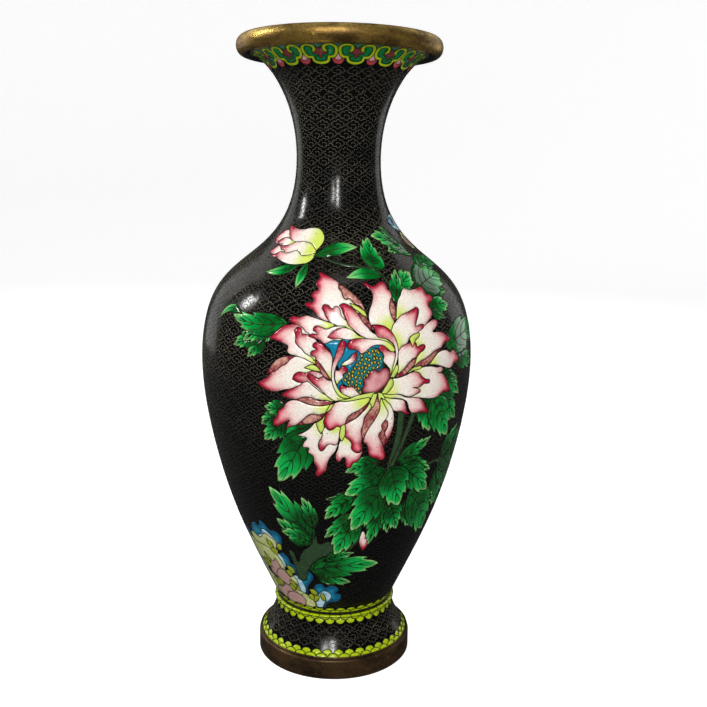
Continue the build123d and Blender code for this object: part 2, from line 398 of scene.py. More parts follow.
def inlay(cells, place, bundles, wires, width, grid=1.5):
    """Fills cells into bundles by piece name, and their border wires into bundles by wire name."""
    places, triangles, owner = triangulate(cells, grid)
    for number, cell in enumerate(cells):
        mine = triangles[owner == number]
        if not len(mine):
            continue
        used, vertices, faces = closed_sheet(places, mine, place)
        edge = distance_to(places[used], cell.outline)
        along = np.linalg.norm(places[used] - cell.base, axis=1) / cell.reach
        bundles.setdefault(cell.piece, Bundle()).add(
            vertices, faces, edge=np.tile(edge, 2), along=np.tile(along, 2), shade=cell.shade, tone=cell.tone)
    for kind, chains in wire_chains(triangles, owner, cells).items():
        for chain in chains:
            wires.setdefault(kind, Bundle()).add(*wire_strip(places[chain], place, width))


print("enamel stands", ENAMEL_LIFT, "mm and wire", WIRE_LIFT, "mm proud of the wall")

# %% [markdown]
# ## The peony
# The great bloom is some forty petals, each with a green base, a white middle and a frilled crimson edge.
# Where a petal turns over, its duller back shows, and at the bases slips of lime enamel fill the gaps.
# Petals are listed from the outermost to the innermost, each with the place it grows from.

# %% Petals of the bloom
petals = [
    ((19, 227), [(-12.5, 249.5, 1), (-8, 248.5), (-2, 246.5), (3, 244), (8, 241.5), (14, 237), (18, 230),
                 (19, 227, 1), (8, 225), (-4, 225), (-8, 226.3), (-11, 228.5), (-13, 230.5), (-18, 232.5, 1),
                 (-17.5, 234), (-13, 235), (-14.8, 237.5), (-14, 239.5), (-11, 241), (-13, 243), (-12.7, 245),
                 (-11, 246.5), (-12, 248)]),
    ((32, 219), [(18.5, 244, 1), (21, 244.3), (24, 242.8), (27, 242.8), (30, 244.3), (33, 244.8), (35.2, 243.3),
                 (35.3, 241), (37, 239.7), (36.5, 237), (35, 234), (34, 229), (35, 224), (33, 218, 1), (27, 218),
                 (21.5, 221), (19.8, 226), (20.3, 230), (22.5, 234), (24, 238), (23.3, 240.5), (21, 242)]),
    ((37, 223), [(36.5, 226, 1), (38, 231), (40, 235), (43, 237.5), (45, 239.5), (48, 241), (51, 240), (54, 240),
                 (58, 240.5), (62, 241.2), (64.5, 240), (64.3, 237.3), (67.5, 236.5), (68.7, 234.5), (66, 232.8),
                 (62.8, 231.5), (63.8, 228), (63, 225.5), (59, 223), (55, 220), (50, 218), (40, 219)]),
    ((44, 208), [(42, 208, 1), (45, 213), (47, 216), (51, 219), (55, 220.8), (59, 222.5), (63, 223.6), (66.3, 223),
                 (66.5, 221), (63.5, 218.5), (61.5, 217.2), (66, 216.8), (70.5, 215.8), (74, 213.5), (77.5, 212, 1),
                 (75.5, 210.7), (71, 210), (67, 207.5), (60, 204), (52, 200), (45, 198, 1)]),
    ((42, 192), [(42, 196, 1), (48, 198), (54, 198.8), (59, 198.3), (63, 197.3), (66.5, 197.3), (68.2, 195.8),
                 (66, 194), (63.5, 194.3, 1), (67, 193.5), (70, 191.3), (72.5, 188.5), (74.5, 185.5), (76.5, 183, 1),
                 (74.5, 181.7), (70, 182), (65, 180.5), (59, 180), (54, 180.8), (50, 181.6), (44, 182), (42, 190)]),
    ((55, 199), [(56.5, 199.5, 1), (60.5, 202.7), (64, 205.2), (68, 206.2), (72, 205.8), (75.5, 204.2), (78, 205.2),
                 (81, 204.3), (83.5, 201.5), (85.8, 199, 1), (83, 197.5), (79.5, 197.2), (76.5, 195.3), (72, 195.7),
                 (67, 197.3), (61, 199)]),
    ((26, 186), [(26, 186.5, 1), (32, 185.6), (37, 184.8), (41, 183), (46, 182.3), (50.5, 181.3), (53.5, 179),
                 (55.5, 176), (58.5, 171.8, 1), (55.5, 172.1), (52, 173), (48.5, 173), (45.5, 173.6), (43.5, 176),
                 (42, 180), (39, 182), (34, 183), (28, 183.5)]),
    ((27, 185), [(27, 184.5, 1), (31, 183.3), (36, 182.4), (40, 181.2), (41.5, 178), (42.5, 175), (44.5, 173.3, 1),
                 (42, 173), (39, 174.8), (35, 175.5), (32, 177.5), (29.5, 180.5)]),
    ((32, 212), [(32.3, 219, 1), (34, 222.5), (36, 224.3), (40, 227.3), (44.5, 228.6), (49, 230), (52, 230.9),
                 (53.5, 229.8), (52.3, 227), (50.3, 224), (48.5, 220.8, 1), (51.5, 221.6), (54.8, 221.7),
                 (54.7, 220.2), (51, 218.3), (47.5, 216.8), (44, 215.5), (42, 212.5), (38.5, 211), (36, 207, 1),
                 (35, 212)]),
    ((27, 186), [(27, 186, 1), (29, 190), (31.5, 193.7), (36, 194.3), (41, 195.5), (45, 196.7), (49, 196),
                 (51.5, 193.5), (54, 191.8), (57.2, 190.8), (56.7, 189.2), (53, 189.3), (50, 187.8), (45.5, 187.9, 1),
                 (49.5, 186.8), (50.7, 185.3), (48.5, 184.1), (44.5, 183), (41, 183.5), (37, 185), (31, 185.4)]),
    ((26, 185), [(26.5, 184.5, 1), (29, 182), (32, 179), (34, 174.5), (34.6, 169), (33.6, 163), (31.7, 158.5),
                 (30.2, 154, 1), (28.6, 157.5), (27, 160), (26, 162.5), (27.8, 165.5), (27, 168.5), (29.4, 171.5),
                 (30.4, 175), (28.5, 178.5), (27, 181)]),
    ((24, 186), [(24.3, 186, 1), (25.2, 181), (25.2, 177), (23, 172), (19.6, 167), (17.5, 163), (16.8, 159.5),
                 (18.8, 157.5), (20, 155), (20.7, 151.5), (23, 149), (26, 148.5), (29, 146.8), (31.2, 148.8),
                 (30.6, 152), (29, 156), (28, 160), (26.3, 162.7), (28, 165.5), (27.3, 168.5), (29.8, 172),
                 (30.6, 175), (28.5, 179), (26.5, 183)]),
    ((8, 164), [(5.5, 163, 1), (3.2, 158), (2.7, 155), (1.5, 151.5), (1.8, 148.3), (3.8, 147), (5.3, 149.3),
                (6.8, 149.8), (7.2, 146.5), (8.2, 143.6), (10.3, 143.6), (11.8, 146.3), (14, 147), (15.5, 149),
                (17, 153), (15, 158), (10, 162)]),
    ((22, 186), [(23, 186.3, 1), (20, 183), (17, 180), (12, 176), (8, 173), (6.3, 169.5), (7, 165.5), (6.5, 162.5),
                 (9, 160.3), (10.6, 157.5), (10.3, 155.3), (12.5, 153), (15.3, 152.6), (16.8, 155), (16.2, 159),
                 (16.6, 162), (15.8, 165.5), (16.8, 169), (17.3, 173), (19.2, 176), (21, 179), (22.7, 182.5)]),
    ((-1, 171), [(-5, 171, 1), (-10, 170), (-13, 166.8), (-16, 164.5), (-20.7, 162, 1), (-17, 161.6), (-15, 160.6),
                 (-16.5, 158.5), (-17.4, 155.6), (-14, 154.9), (-14.4, 152.5), (-11.5, 150), (-11.3, 146.5),
                 (-9.8, 143), (-10.8, 139.5), (-9.3, 137.6), (-6.5, 139.4), (-4, 141.8), (-3.3, 146), (-1.5, 150),
                 (1, 153), (2.5, 157), (3.2, 162), (0, 170)]),
    ((1, 169), [(-4.5, 168, 1), (-6, 165.3), (-6.3, 162), (-8, 159), (-8.4, 155.7), (-6.8, 153.5), (-5, 154.8),
                (-3.5, 157), (-1.5, 158), (1, 157.2), (2.8, 159), (3.3, 162), (3.6, 165), (4, 168.5), (0, 169)]),
    ((18, 184), [(20, 185, 1), (12, 184), (5, 182.7), (0.3, 181.3), (-2, 177.5), (-4.8, 174.5), (-5.4, 171),
                 (-4.3, 168), (-2.3, 166), (0, 166.6), (2, 168.2), (4.5, 167.8), (6.5, 169.5), (7.7, 173),
                 (10, 175.5), (13, 177), (16, 179), (19.5, 182.5)]),
    ((1, 181), [(0, 181.7, 1), (-4, 180.3), (-9, 179.8), (-14, 180.6), (-18, 182), (-22, 182.3), (-25.5, 180.8),
                (-28, 177.8), (-31.3, 175), (-32.4, 172), (-34.4, 169.7), (-34.9, 167.2), (-32.5, 166.1),
                (-29.5, 167.6), (-24.5, 170.7, 1), (-26, 168), (-27, 164.8, 1), (-23.5, 167.2), (-20, 168.3),
                (-17.5, 170.5), (-15, 173), (-12, 174.7), (-8, 174.5), (-4, 175.8), (-2, 178.5)]),
    ((-3, 195), [(-43.8, 189.8, 1), (-40.5, 191.8), (-37, 194), (-34.5, 196.7), (-31.5, 198.3), (-29.3, 200.3),
                 (-26.3, 201.8), (-24.5, 204), (-21.5, 206), (-17, 206), (-12, 203.5), (-8, 200), (-5, 196),
                 (-10, 189), (-20, 187.5), (-26, 187.8), (-32, 186), (-38, 186.3), (-41.5, 187.8)]),
    ((-6, 201), [(-37.6, 214.8, 1), (-35, 217), (-32, 219.8), (-29, 221.8), (-24, 222.8), (-19, 222.5), (-14, 220),
                 (-9, 212), (-8, 203), (-13, 203.8), (-16, 205.3), (-20, 206.3), (-24, 207), (-26, 208.7),
                 (-25.5, 211), (-28, 212.3), (-32, 213.5)]),
    ((1, 182), [(1, 183, 1), (-5, 189), (-12, 193.5), (-17, 195), (-17.3, 191.5), (-21, 189.5), (-24.5, 187.8),
                (-27, 186.2), (-29, 184.2, 1), (-25, 183), (-20, 182.6), (-14, 183), (-8, 183.3), (-3, 181.6)]),
    ((2, 183), [(-22.4, 193.7, 1), (-21.3, 196.4), (-18.5, 197.9), (-15, 197.5), (-11.5, 198.8), (-7.5, 198),
                (-5, 196), (-3, 194), (0, 192), (1, 187), (-4, 186), (-10, 190), (-14, 193), (-17, 192.1),
                (-20, 192.5)]),
    ((0, 220), [(-26.5, 225.2, 1), (-24.3, 227.1), (-20.5, 226.7), (-16.5, 227.7), (-12, 226.8), (-8, 225.8),
                (-4, 224.8), (0, 223), (-1, 219), (-8, 217), (-12, 217.5), (-15.5, 219), (-18, 221.5), (-21, 222.8),
                (-24, 223.2)]),
    ((-7, 202), [(-22.5, 219.7, 1), (-20.7, 221.5), (-18.6, 220.9), (-18, 218.3), (-15.3, 218), (-12.5, 217),
                 (-9, 214), (-9, 208), (-8, 203.5), (-12.5, 206.5), (-15.8, 208.2), (-17.3, 209.9), (-19.7, 211.6),
                 (-21.4, 213.7), (-21.4, 216.5)]),
    ((12, 221), [(-7.5, 231.5, 1), (-6.8, 233.2), (-4, 233.2), (-1.5, 231.4), (1, 232.7), (3, 231.2), (4, 228),
                 (6, 226), (8, 224), (11, 220.5), (6, 221.5), (1, 223), (-2, 224.5), (-5, 227.5), (-6, 229.5)]),
    ((9, 218), [(-14.2, 217, 1), (-12, 218.4), (-9.5, 218.4), (-11.8, 220.5), (-10.3, 222.5), (-7.5, 222.1),
                (-4.5, 221), (0, 222.4), (6, 222.3), (9, 219), (4, 215.5), (-1, 215.1), (-5, 213.5), (-8, 215.2),
                (-11, 216.2)]),
    ((33, 210), [(2.6, 233, 1), (5, 234.1), (8, 233.4), (11, 231.5), (13, 229.5), (15, 226.5), (18, 223),
                 (21, 219.5), (25, 217.3), (30, 215), (34, 211), (32, 210), (29.5, 213), (25, 215), (21, 215.6),
                 (17, 216.4), (13, 218.8), (10, 221.4), (8, 223), (6.5, 226), (5, 229), (4, 231.4)]),
    ((16, 216.5), [(-3.7, 216.8, 1), (-1.3, 219.4), (2, 221.3), (6, 221.8), (10, 220.5), (13.5, 217.8), (17, 216),
                   (12, 215.8), (7, 215.6), (3, 216.3), (-0.5, 215.8)]),
    ((33, 209), [(6.8, 212, 1), (8.5, 215), (13, 216.3), (20, 215.8), (27, 215), (31.5, 213), (34.2, 209.5),
                 (32.5, 208.3), (29.5, 210.5), (25.5, 212.5), (21, 212), (18.5, 210.3), (15, 208.3), (12, 210.4),
                 (9, 210.4)]),
    ((31, 195), [(24.3, 210.5, 1), (25.5, 212.5), (28, 211.8), (31, 209), (33.5, 208.3), (35, 206), (34.5, 202),
                 (32, 197.5), (31, 195.5, 1), (30.8, 199), (29, 201.5), (27, 204), (27.5, 207), (25.8, 209)]),
    ((32, 194), [(21, 223, 1), (25, 223), (29, 222), (32.5, 219.3), (35, 215), (36.1, 210), (35.6, 205),
                 (33.7, 200), (31, 194.8, 1), (32.5, 200), (34, 205), (34.4, 209), (33, 213), (29, 215.6),
                 (24.5, 216.7), (23, 219), (22.3, 221)]),
    ((33, 194), [(35.5, 198, 1), (35.8, 203), (36.2, 208.5), (38.5, 211), (42, 212.3), (45, 213.2), (47.7, 212.4),
                 (48.8, 210), (51.5, 211), (54.2, 210.3), (53.3, 208.2), (50.3, 206.7), (48, 204.6), (46.5, 202),
                 (42, 198), (36, 194.5)]),
    ((0, 192), [(-11.5, 213, 1), (-9.5, 214.2), (-6, 213.4), (-4.5, 211), (-2, 209), (-0.7, 206), (-1, 201),
                (-1, 197), (-0.3, 193, 1), (-3.5, 195.5), (-6.5, 198.5), (-9.3, 202.5), (-10, 206), (-12.5, 207.3),
                (-12.2, 209.2), (-9.8, 210.3), (-11.5, 211.6)]),
    ((9, 183), [(-14.5, 195.5, 1), (-12.8, 197.4), (-10.5, 196.1), (-8, 195), (-5.5, 196), (-3.5, 194.3),
                (-0.7, 193.3), (1, 190), (3.5, 186.5), (9, 184, 1), (3, 182.5), (-1, 183.5), (-4.5, 186.4),
                (-8, 189.6), (-11.5, 192.4)]),
    ((9, 183), [(3, 190.5, 1), (4.5, 191.7), (7, 190.3), (10, 191), (12, 188.5), (13.5, 187), (15, 185.3),
                (9, 184, 1), (5, 186)]),
    ((7, 184), [(2.7, 213.5, 1), (4.5, 215.2), (6.7, 214), (5.8, 211), (4.8, 207.5), (2.5, 204), (0.8, 200),
                (0.3, 196), (1.5, 191.5), (4.2, 187.3), (9.7, 184.3, 1), (4.5, 184.5), (1.5, 187.3), (-0.5, 192),
                (-1.2, 197), (-0.8, 202), (0.3, 206), (1.5, 210)]),
    ((3, 201), [(12.6, 209.6, 1), (10, 207.8), (8, 205.5), (5.5, 204), (3.5, 202, 1), (7, 202.1), (10, 203.4),
                (12, 205.5)]),
    ((1, 191), [(0.8, 200, 1), (2.5, 199.3), (4.5, 201.7), (6.9, 200.9), (7.1, 198.7), (5, 197.3), (5, 195.5),
                (3, 193.5), (2, 191.3, 1), (0.6, 195)]),
]
folds = [
    [(2.5, 244.3, 1), (8, 241.3), (14, 237), (17.3, 233), (18, 230, 1), (14, 232.8), (11, 234.5), (9, 236.3),
     (6.5, 236), (5, 237.5), (4, 240), (2.3, 241.7)],
    [(36, 236.5, 1), (37.2, 233), (37.2, 229), (36, 224, 1), (34.2, 226), (33.3, 230), (34, 233.5)],
    [(13.3, 229.3, 1), (16, 229), (19, 226), (21, 222.5), (21.3, 219.3, 1), (19, 221.7), (17, 223.7), (15, 226.4)],
    [(67.3, 207.7, 1), (62, 206.9), (58, 205), (54, 203.2), (50, 202), (46, 199.8), (44.5, 198.6, 1), (51, 198.8),
     (56, 199.9), (60, 202.3), (63, 205.1)],
    [(48, 204.6, 1), (45, 203.7), (42, 201.5), (39.5, 199), (36, 196.5), (33, 194.6, 1), (38, 195), (42, 197),
     (46, 200.5)],
    [(19.7, 182.3, 1), (16, 179), (13, 176.8), (10, 175.5), (7.6, 173), (6.3, 169.3, 1), (9.5, 171.2),
     (13, 173.3), (16, 176.3), (18.6, 179.3)],
    [(24, 186, 1), (22.8, 182.5), (21, 179), (19, 176), (17, 173), (16.5, 169), (15.5, 165.5), (16.3, 162),
     (17, 159, 1), (18, 163), (20, 167), (23.3, 172), (25.5, 177), (25.5, 181)],
    [(-20.7, 168.1, 1), (-17.5, 170.7), (-15, 173.2), (-12, 175), (-8, 174.7), (-4.3, 175.8, 1), (-6.5, 172.5),
     (-10, 170.3), (-15, 168.8)],
    [(-20, 182.8, 1), (-15.5, 184.4), (-11.5, 184.2), (-8, 182.9), (-4, 182.9), (0, 182.3, 1), (-1.5, 181),
     (-5, 180), (-10, 179.8), (-14, 180.5), (-18, 181.8)],
    [(-38.5, 194.7, 1), (-36, 198.7), (-33.5, 202.2), (-29.5, 205), (-25, 206.2), (-21, 206.3, 1), (-24.3, 204),
     (-26.2, 201.7), (-29.2, 200.1), (-31.4, 198.1), (-34.4, 196.5)],
    [(-9.9, 205.3, 1), (-7.7, 203.3), (-5, 199.7), (-3, 196.7), (-1.2, 194.3, 1), (-4.1, 195.2), (-7.1, 198.3),
     (-9.5, 202)],
    [(31, 159.5, 1), (30, 154.3, 1), (28.4, 157.5), (26.9, 160), (25.9, 162.5), (27.7, 165.5), (27.2, 168.3),
     (29.8, 170.8), (31, 167), (29.6, 163.5)],
]
slips = [
    [(9, 234.3, 1), (13, 233), (18, 230, 1), (18.3, 227.5), (14, 230), (11, 231.8)],
    [(43.5, 215, 1), (47, 217), (51, 216.8), (47.5, 213.5), (45.5, 210, 1)],
    [(31, 194.8, 1), (33.5, 199.5), (35.4, 201.5), (35.5, 197.5), (33.4, 194.6, 1)],
    [(41, 195.6, 1), (45, 197.4), (51, 198.8), (46, 199.4, 1), (43, 197.6)],
    [(26, 186.2, 1), (29, 191), (31.7, 194.2), (33, 191), (31, 187.6), (29, 186, 1)],
    [(4.2, 168.3, 1), (6.2, 169.3), (6.8, 165.5), (6.3, 162.3), (4.8, 159.5, 1), (3.5, 162), (3.7, 165)],
    [(-9.5, 170, 1), (-6, 172.5), (-4.6, 174.4), (-5.4, 171), (-4.9, 167.7), (-6.8, 163.7, 1), (-8.3, 166)],
    [(-4.4, 175.8, 1), (-1.7, 180.7, 1), (0.5, 181.2, 1), (-1.8, 177.6)],
    [(-16, 200.3, 1), (-12, 202.2), (-9, 201.3), (-6.8, 198.5, 1), (-11, 199)],
    [(1, 182.5, 1), (8, 184), (14, 186), (22, 187.3, 1), (23.5, 184.5), (18, 184.3), (12, 183.2), (6, 182.4)],
    [(19.5, 181.5, 1), (21.5, 186.3, 1), (24, 186.5, 1), (22.8, 182), (21.5, 178.3, 1)],
    [(24, 187, 1), (26.5, 186.5, 1), (28.3, 182.8), (26, 184, 1), (25.3, 181.5)],
]
heart = [(3, 188), (1.5, 192), (3, 197), (2, 202), (-0.5, 206), (-2, 210), (-5, 213.5), (-3, 215.5), (8, 216.6),
         (14, 216), (20, 213), (26, 213.3), (28.5, 208), (27.5, 203), (26, 199), (20, 196), (17, 189), (15, 185),
         (9, 184.5)]
stamen_bed = [(4.5, 193), (5.5, 197), (9, 199.5), (12, 204), (14.5, 209), (19, 211), (24, 210.5), (27, 206),
              (26, 201), (20, 197), (17, 190), (14.5, 186.2), (11, 188.5)]
pink_centre = [(16.7, 186.6), (15.3, 189), (16.4, 191.7), (15.9, 194.6), (18, 195.6), (19.4, 198), (22, 199.7),
               (24.4, 198.4), (26, 199.9), (29, 200.2), (31.2, 197.6), (30.6, 193.6), (27.5, 189.6), (24, 187),
               (21.5, 185.8)]
print(len(petals), "petals,", len(folds), "turned edges,", len(slips), "slips")

# %% [markdown]
# ## Leaves
# Peony leaves on these vases are drawn by habit: a curved midrib, a belly at the middle, and on each side
# one or two long teeth that point forward. So a leaf is made from its two ends, its width, a sideways bend
# and the number of teeth, and its veins leave the midrib steeply and arch forward into the teeth. Bud leaves
# and moss have no teeth.


# %% A leaf from its two ends
VEINS = (0.05, 0.74), (0.20, 0.72), (0.36, 0.60), (0.54, 0.36), (0.68, 0.16)  # (start along, reach sideways)
FULLNESS = 1.24  # how much wider a leaf is drawn than its width between the teeth
TOOTH_STEP, TOOTH_SIZES = 0.24, (1.0, 0.66)  # shares of the length from tooth to tooth, and of the width
NARROWEST_VEINED = 6


def leaf(start, tip, width, bend=0.0, teeth=2):
    """Outline, midrib and side veins of one leaf."""
    start, tip = np.array(start, float), np.array(tip, float)
    run = tip - start
    length = np.linalg.norm(run)
    across = np.array([-run[1], run[0]]) / length
    width *= FULLNESS

    def on_leaf(t, side):
        spine = start + run * t + across * bend * 4 * t * (1 - t)
        turn = across - run / length * bend / length * 4 * (1 - 2 * t)
        return spine + turn * side * width / 2

    sides, veins = [], []
    for side, first in ((1, 0.44), (-1, 0.50)):
        if teeth:
            line = [tuple(on_leaf(t, side * spread)) for t, spread in ((0.06, 0.40), (0.20, 0.84), (0.36, 1.0))]
            for number in range(teeth):
                t = first + TOOTH_STEP * number
                size = TOOTH_SIZES[number] * random.uniform(0.94, 1.04)
                if number:
                    line.append(tuple(on_leaf(t - 0.04, side * (size + 0.06))))
                line.append((*on_leaf(t + 0.13, side * size * 0.94), 1))
                line.append((*on_leaf(t + 0.06, side * size * 0.70), 1))
            line.append(tuple(on_leaf(0.92, side * 0.24)))
            for t, spread in VEINS:
                veins.append([on_leaf(t, 0.0), on_leaf(t + 0.05, side * spread * 0.45),
                              on_leaf(t + 0.14, side * spread * 0.8), on_leaf(t + 0.27, side * spread)])
        else:
            line = [tuple(on_leaf(t, side * spread)) for t, spread in ((0.2, 0.7), (0.45, 1.0), (0.75, 0.66))]
        sides.append(line)
    outline = [(*start, 1)] + sides[0] + [(*tip, 1)] + sides[1][::-1]
    midrib = [on_leaf(t, 0.0) for t in (0.02, 0.3, 0.6, 0.93)]
    return rounded(outline), [midrib] + (veins if width > NARROWEST_VEINED else [])


# %% Every leaf: its piece, start, tip, width, bend and teeth
leaves = [
    ("branch_leaves", (-14, 96), (-44, 128), 17, 1, 2), ("branch_leaves", (-18, 93), (-43, 107), 12, 1.5, 2),
    ("branch_leaves", (-16, 93), (-41, 98), 9, -1, 2), ("branch_leaves", (-14, 103), (-21, 124), 9, -1, 2),
    ("foot_leaves", (-16, 72), (0, 61.5), 8, 0, 2), ("foot_leaves", (-20, 73), (19, 63), 8.5, -1, 2),
    ("foot_leaves", (-22, 72), (44, 75), 14, 3, 2), ("foot_leaves", (-8, 80), (18, 86), 6, 1, 2),
    ("side_leaves", (78, 134), (100, 106), 16, -2, 2), ("side_leaves", (77, 137), (128, 120), 22, 2, 2),
    ("side_leaves", (76, 138), (130, 150), 20, -2, 2), ("side_leaves", (80, 140), (96, 158), 11, 1, 2),
    ("left_leaves", (-58, 222), (-83, 220), 3.6, -7, 0), ("left_leaves", (-36, 222), (-41, 211), 6, 0, 2),
    ("left_leaves", (-40, 214), (-51.5, 203), 7, 0, 2), ("left_leaves", (-45, 217), (-63, 208.5), 8, 0.5, 2),
    ("left_leaves", (-34, 222), (-56, 211.5), 9, -1, 2), ("left_leaves", (-27, 223.5), (-68, 225), 10, 3, 2),
    ("lower_left_leaves", (-20, 157), (-17, 142), 8, 0, 2), ("lower_left_leaves", (-12, 169), (-30, 160), 12, 0, 2),
    ("lower_left_leaves", (-30, 174), (-43, 166), 7, -0.5, 2),
    ("lower_left_leaves", (-28, 171), (-42, 157), 10, 0.5, 2),
    ("lower_left_leaves", (-14, 166), (-36, 132), 17, 1.5, 2),
    ("lower_left_leaves", (-26, 178), (-40, 177), 8, 1, 2),
    ("right_leaves", (78, 206), (110, 194), 12, -1, 2), ("right_leaves", (72, 208), (122, 214), 16, 2, 2),
    ("shoulder_leaves", (78, 262), (54, 259.5), 5, 0, 2), ("shoulder_leaves", (86, 257.5), (42, 268), 9, -2.5, 2),
    ("shoulder_leaves", (80, 264), (60, 273), 6, 0.5, 2), ("shoulder_leaves", (33, 251), (45, 259.5), 5.5, 0, 1),
    ("shoulder_leaves", (31, 250), (38, 267), 16, 1, 2),
    ("upper_leaves", (61, 231), (84, 230), 9, 1, 2), ("upper_leaves", (63, 228), (76, 223.5), 5, 0, 1),
    ("upper_leaves", (66, 246), (87, 251), 5, 0, 1), ("upper_leaves", (72, 250), (124, 252), 6.5, 2, 2),
    ("upper_leaves", (70, 240), (90, 237), 6, 0, 1), ("upper_leaves", (58, 240), (99, 245.5), 13, 2, 2),
    ("upper_leaves", (38, 238), (62, 248.5), 10, 1, 2), ("upper_leaves", (38, 234), (49, 250.5), 8, 0.5, 2),
    ("lower_right_leaves", (64, 194), (88, 178), 10, 1, 2), ("lower_right_leaves", (68, 193), (84, 188), 6, 0, 1),
    ("lower_right_leaves", (64, 182), (88, 163), 12, 1, 2), ("lower_right_leaves", (54, 182), (61, 160), 12, 0, 2),
    ("lower_right_leaves", (60, 180), (81, 154), 15, 0, 2),
    ("leaf_cluster", (34, 116), (28, 91), 11, 0, 2), ("leaf_cluster", (38, 118), (43, 97), 9, 0, 2),
    ("leaf_cluster", (16, 112), (1, 85), 17, 0.5, 2), ("leaf_cluster", (16, 113), (-7, 97), 9, 0, 2),
    ("leaf_cluster", (14, 125.5), (-5, 123.5), 5, 0, 1), ("leaf_cluster", (14, 125), (-6, 110), 10, -1, 2),
    ("leaf_cluster", (54, 120), (91, 110), 10, 1, 2), ("leaf_cluster", (52, 118), (66, 97.5), 11, 0, 2),
    ("leaf_cluster", (40, 118), (51, 99), 12, 0, 2), ("leaf_cluster", (54, 123), (91, 90), 20, 1, 2),
    ("leaf_cluster", (40, 144), (64, 157), 8, 0.5, 2), ("leaf_cluster", (42, 143), (70, 135), 9, 1, 2),
    ("leaf_cluster", (43, 141), (72, 121), 13, 1, 2), ("leaf_cluster", (33, 141), (7, 126.5), 15, 1, 2),
    ("leaf_cluster", (28, 146), (7, 140.5), 9, -1, 2), ("leaf_cluster", (34, 129), (13, 102), 18, -1, 2),
    ("leaf_cluster", (36, 142), (47, 115.5), 18, 0, 2),
    ("bud_sepals", (-29, 253), (-57.5, 248), 4.2, 1, 0), ("bud_sepals", (-24, 254), (-26.5, 241), 6, 0, 0),
    ("bud_leaf", (-21, 257), (23, 262), 5.4, 1.6, 0), ("bud_leaf", (36, 247), (7, 246.5), 4.8, -2, 0),
]
print(len(leaves), "leaves")

# %% [markdown]
# ## Stems, the branch, the rock and the buds
# Stems are even bands along a line. The rock is a patchwork of flat lobed cells, each with its own glass:
# deep blue, pale blue, yellow-green, dusty pink and olive moss. A number on each rock cell tells the
# material which glass it gets.


# %% Bands along a line
def band(points, width, end_width=None):
    """Outline of a stem: a line widened to both sides."""
    line = rounded(points, closed=False, step=1.5)
    ahead = np.gradient(line, axis=0)
    side = np.stack([-ahead[:, 1], ahead[:, 0]], 1)
    side /= np.linalg.norm(side, axis=1)[:, None]
    half = np.linspace(width, end_width or width, len(line))[:, None] / 2
    return np.concatenate([line + side * half, (line - side * half)[::-1]])


stems = [
    ("main_stem", [(39, 178), (38.5, 160), (36, 146), (34, 132)], 4.6, 4.0),
    ("main_stem", [(48, 176), (44, 163), (39.5, 150), (36, 142)], 3.4, 2.8),
    ("main_stem", [(58, 140), (66, 139), (74, 139.5), (80, 137)], 2.2, 2.0),
    ("bud_stem", [(-17, 258), (0, 254), (18, 252), (32, 250.5), (37, 245), (39, 238)], 1.1, 1.6),
    ("branch", [(-28, 72), (-13, 76), (0, 83), (11, 88), (21, 96)], 3.6, 2.4),
]
branch_outline = [(-37, 63, 1), (-28, 63), (-24, 71), (-17, 78), (-8, 83), (4, 87), (5, 92), (-4, 94), (-11, 92.5),
                  (-13, 98), (-17, 97.5), (-18.5, 90.5), (-24, 87), (-29, 81.5), (-32, 77), (-34, 83.5),
                  (-38.5, 84.5), (-38, 78), (-36.5, 71)]
print(len(stems), "stems and a branch")

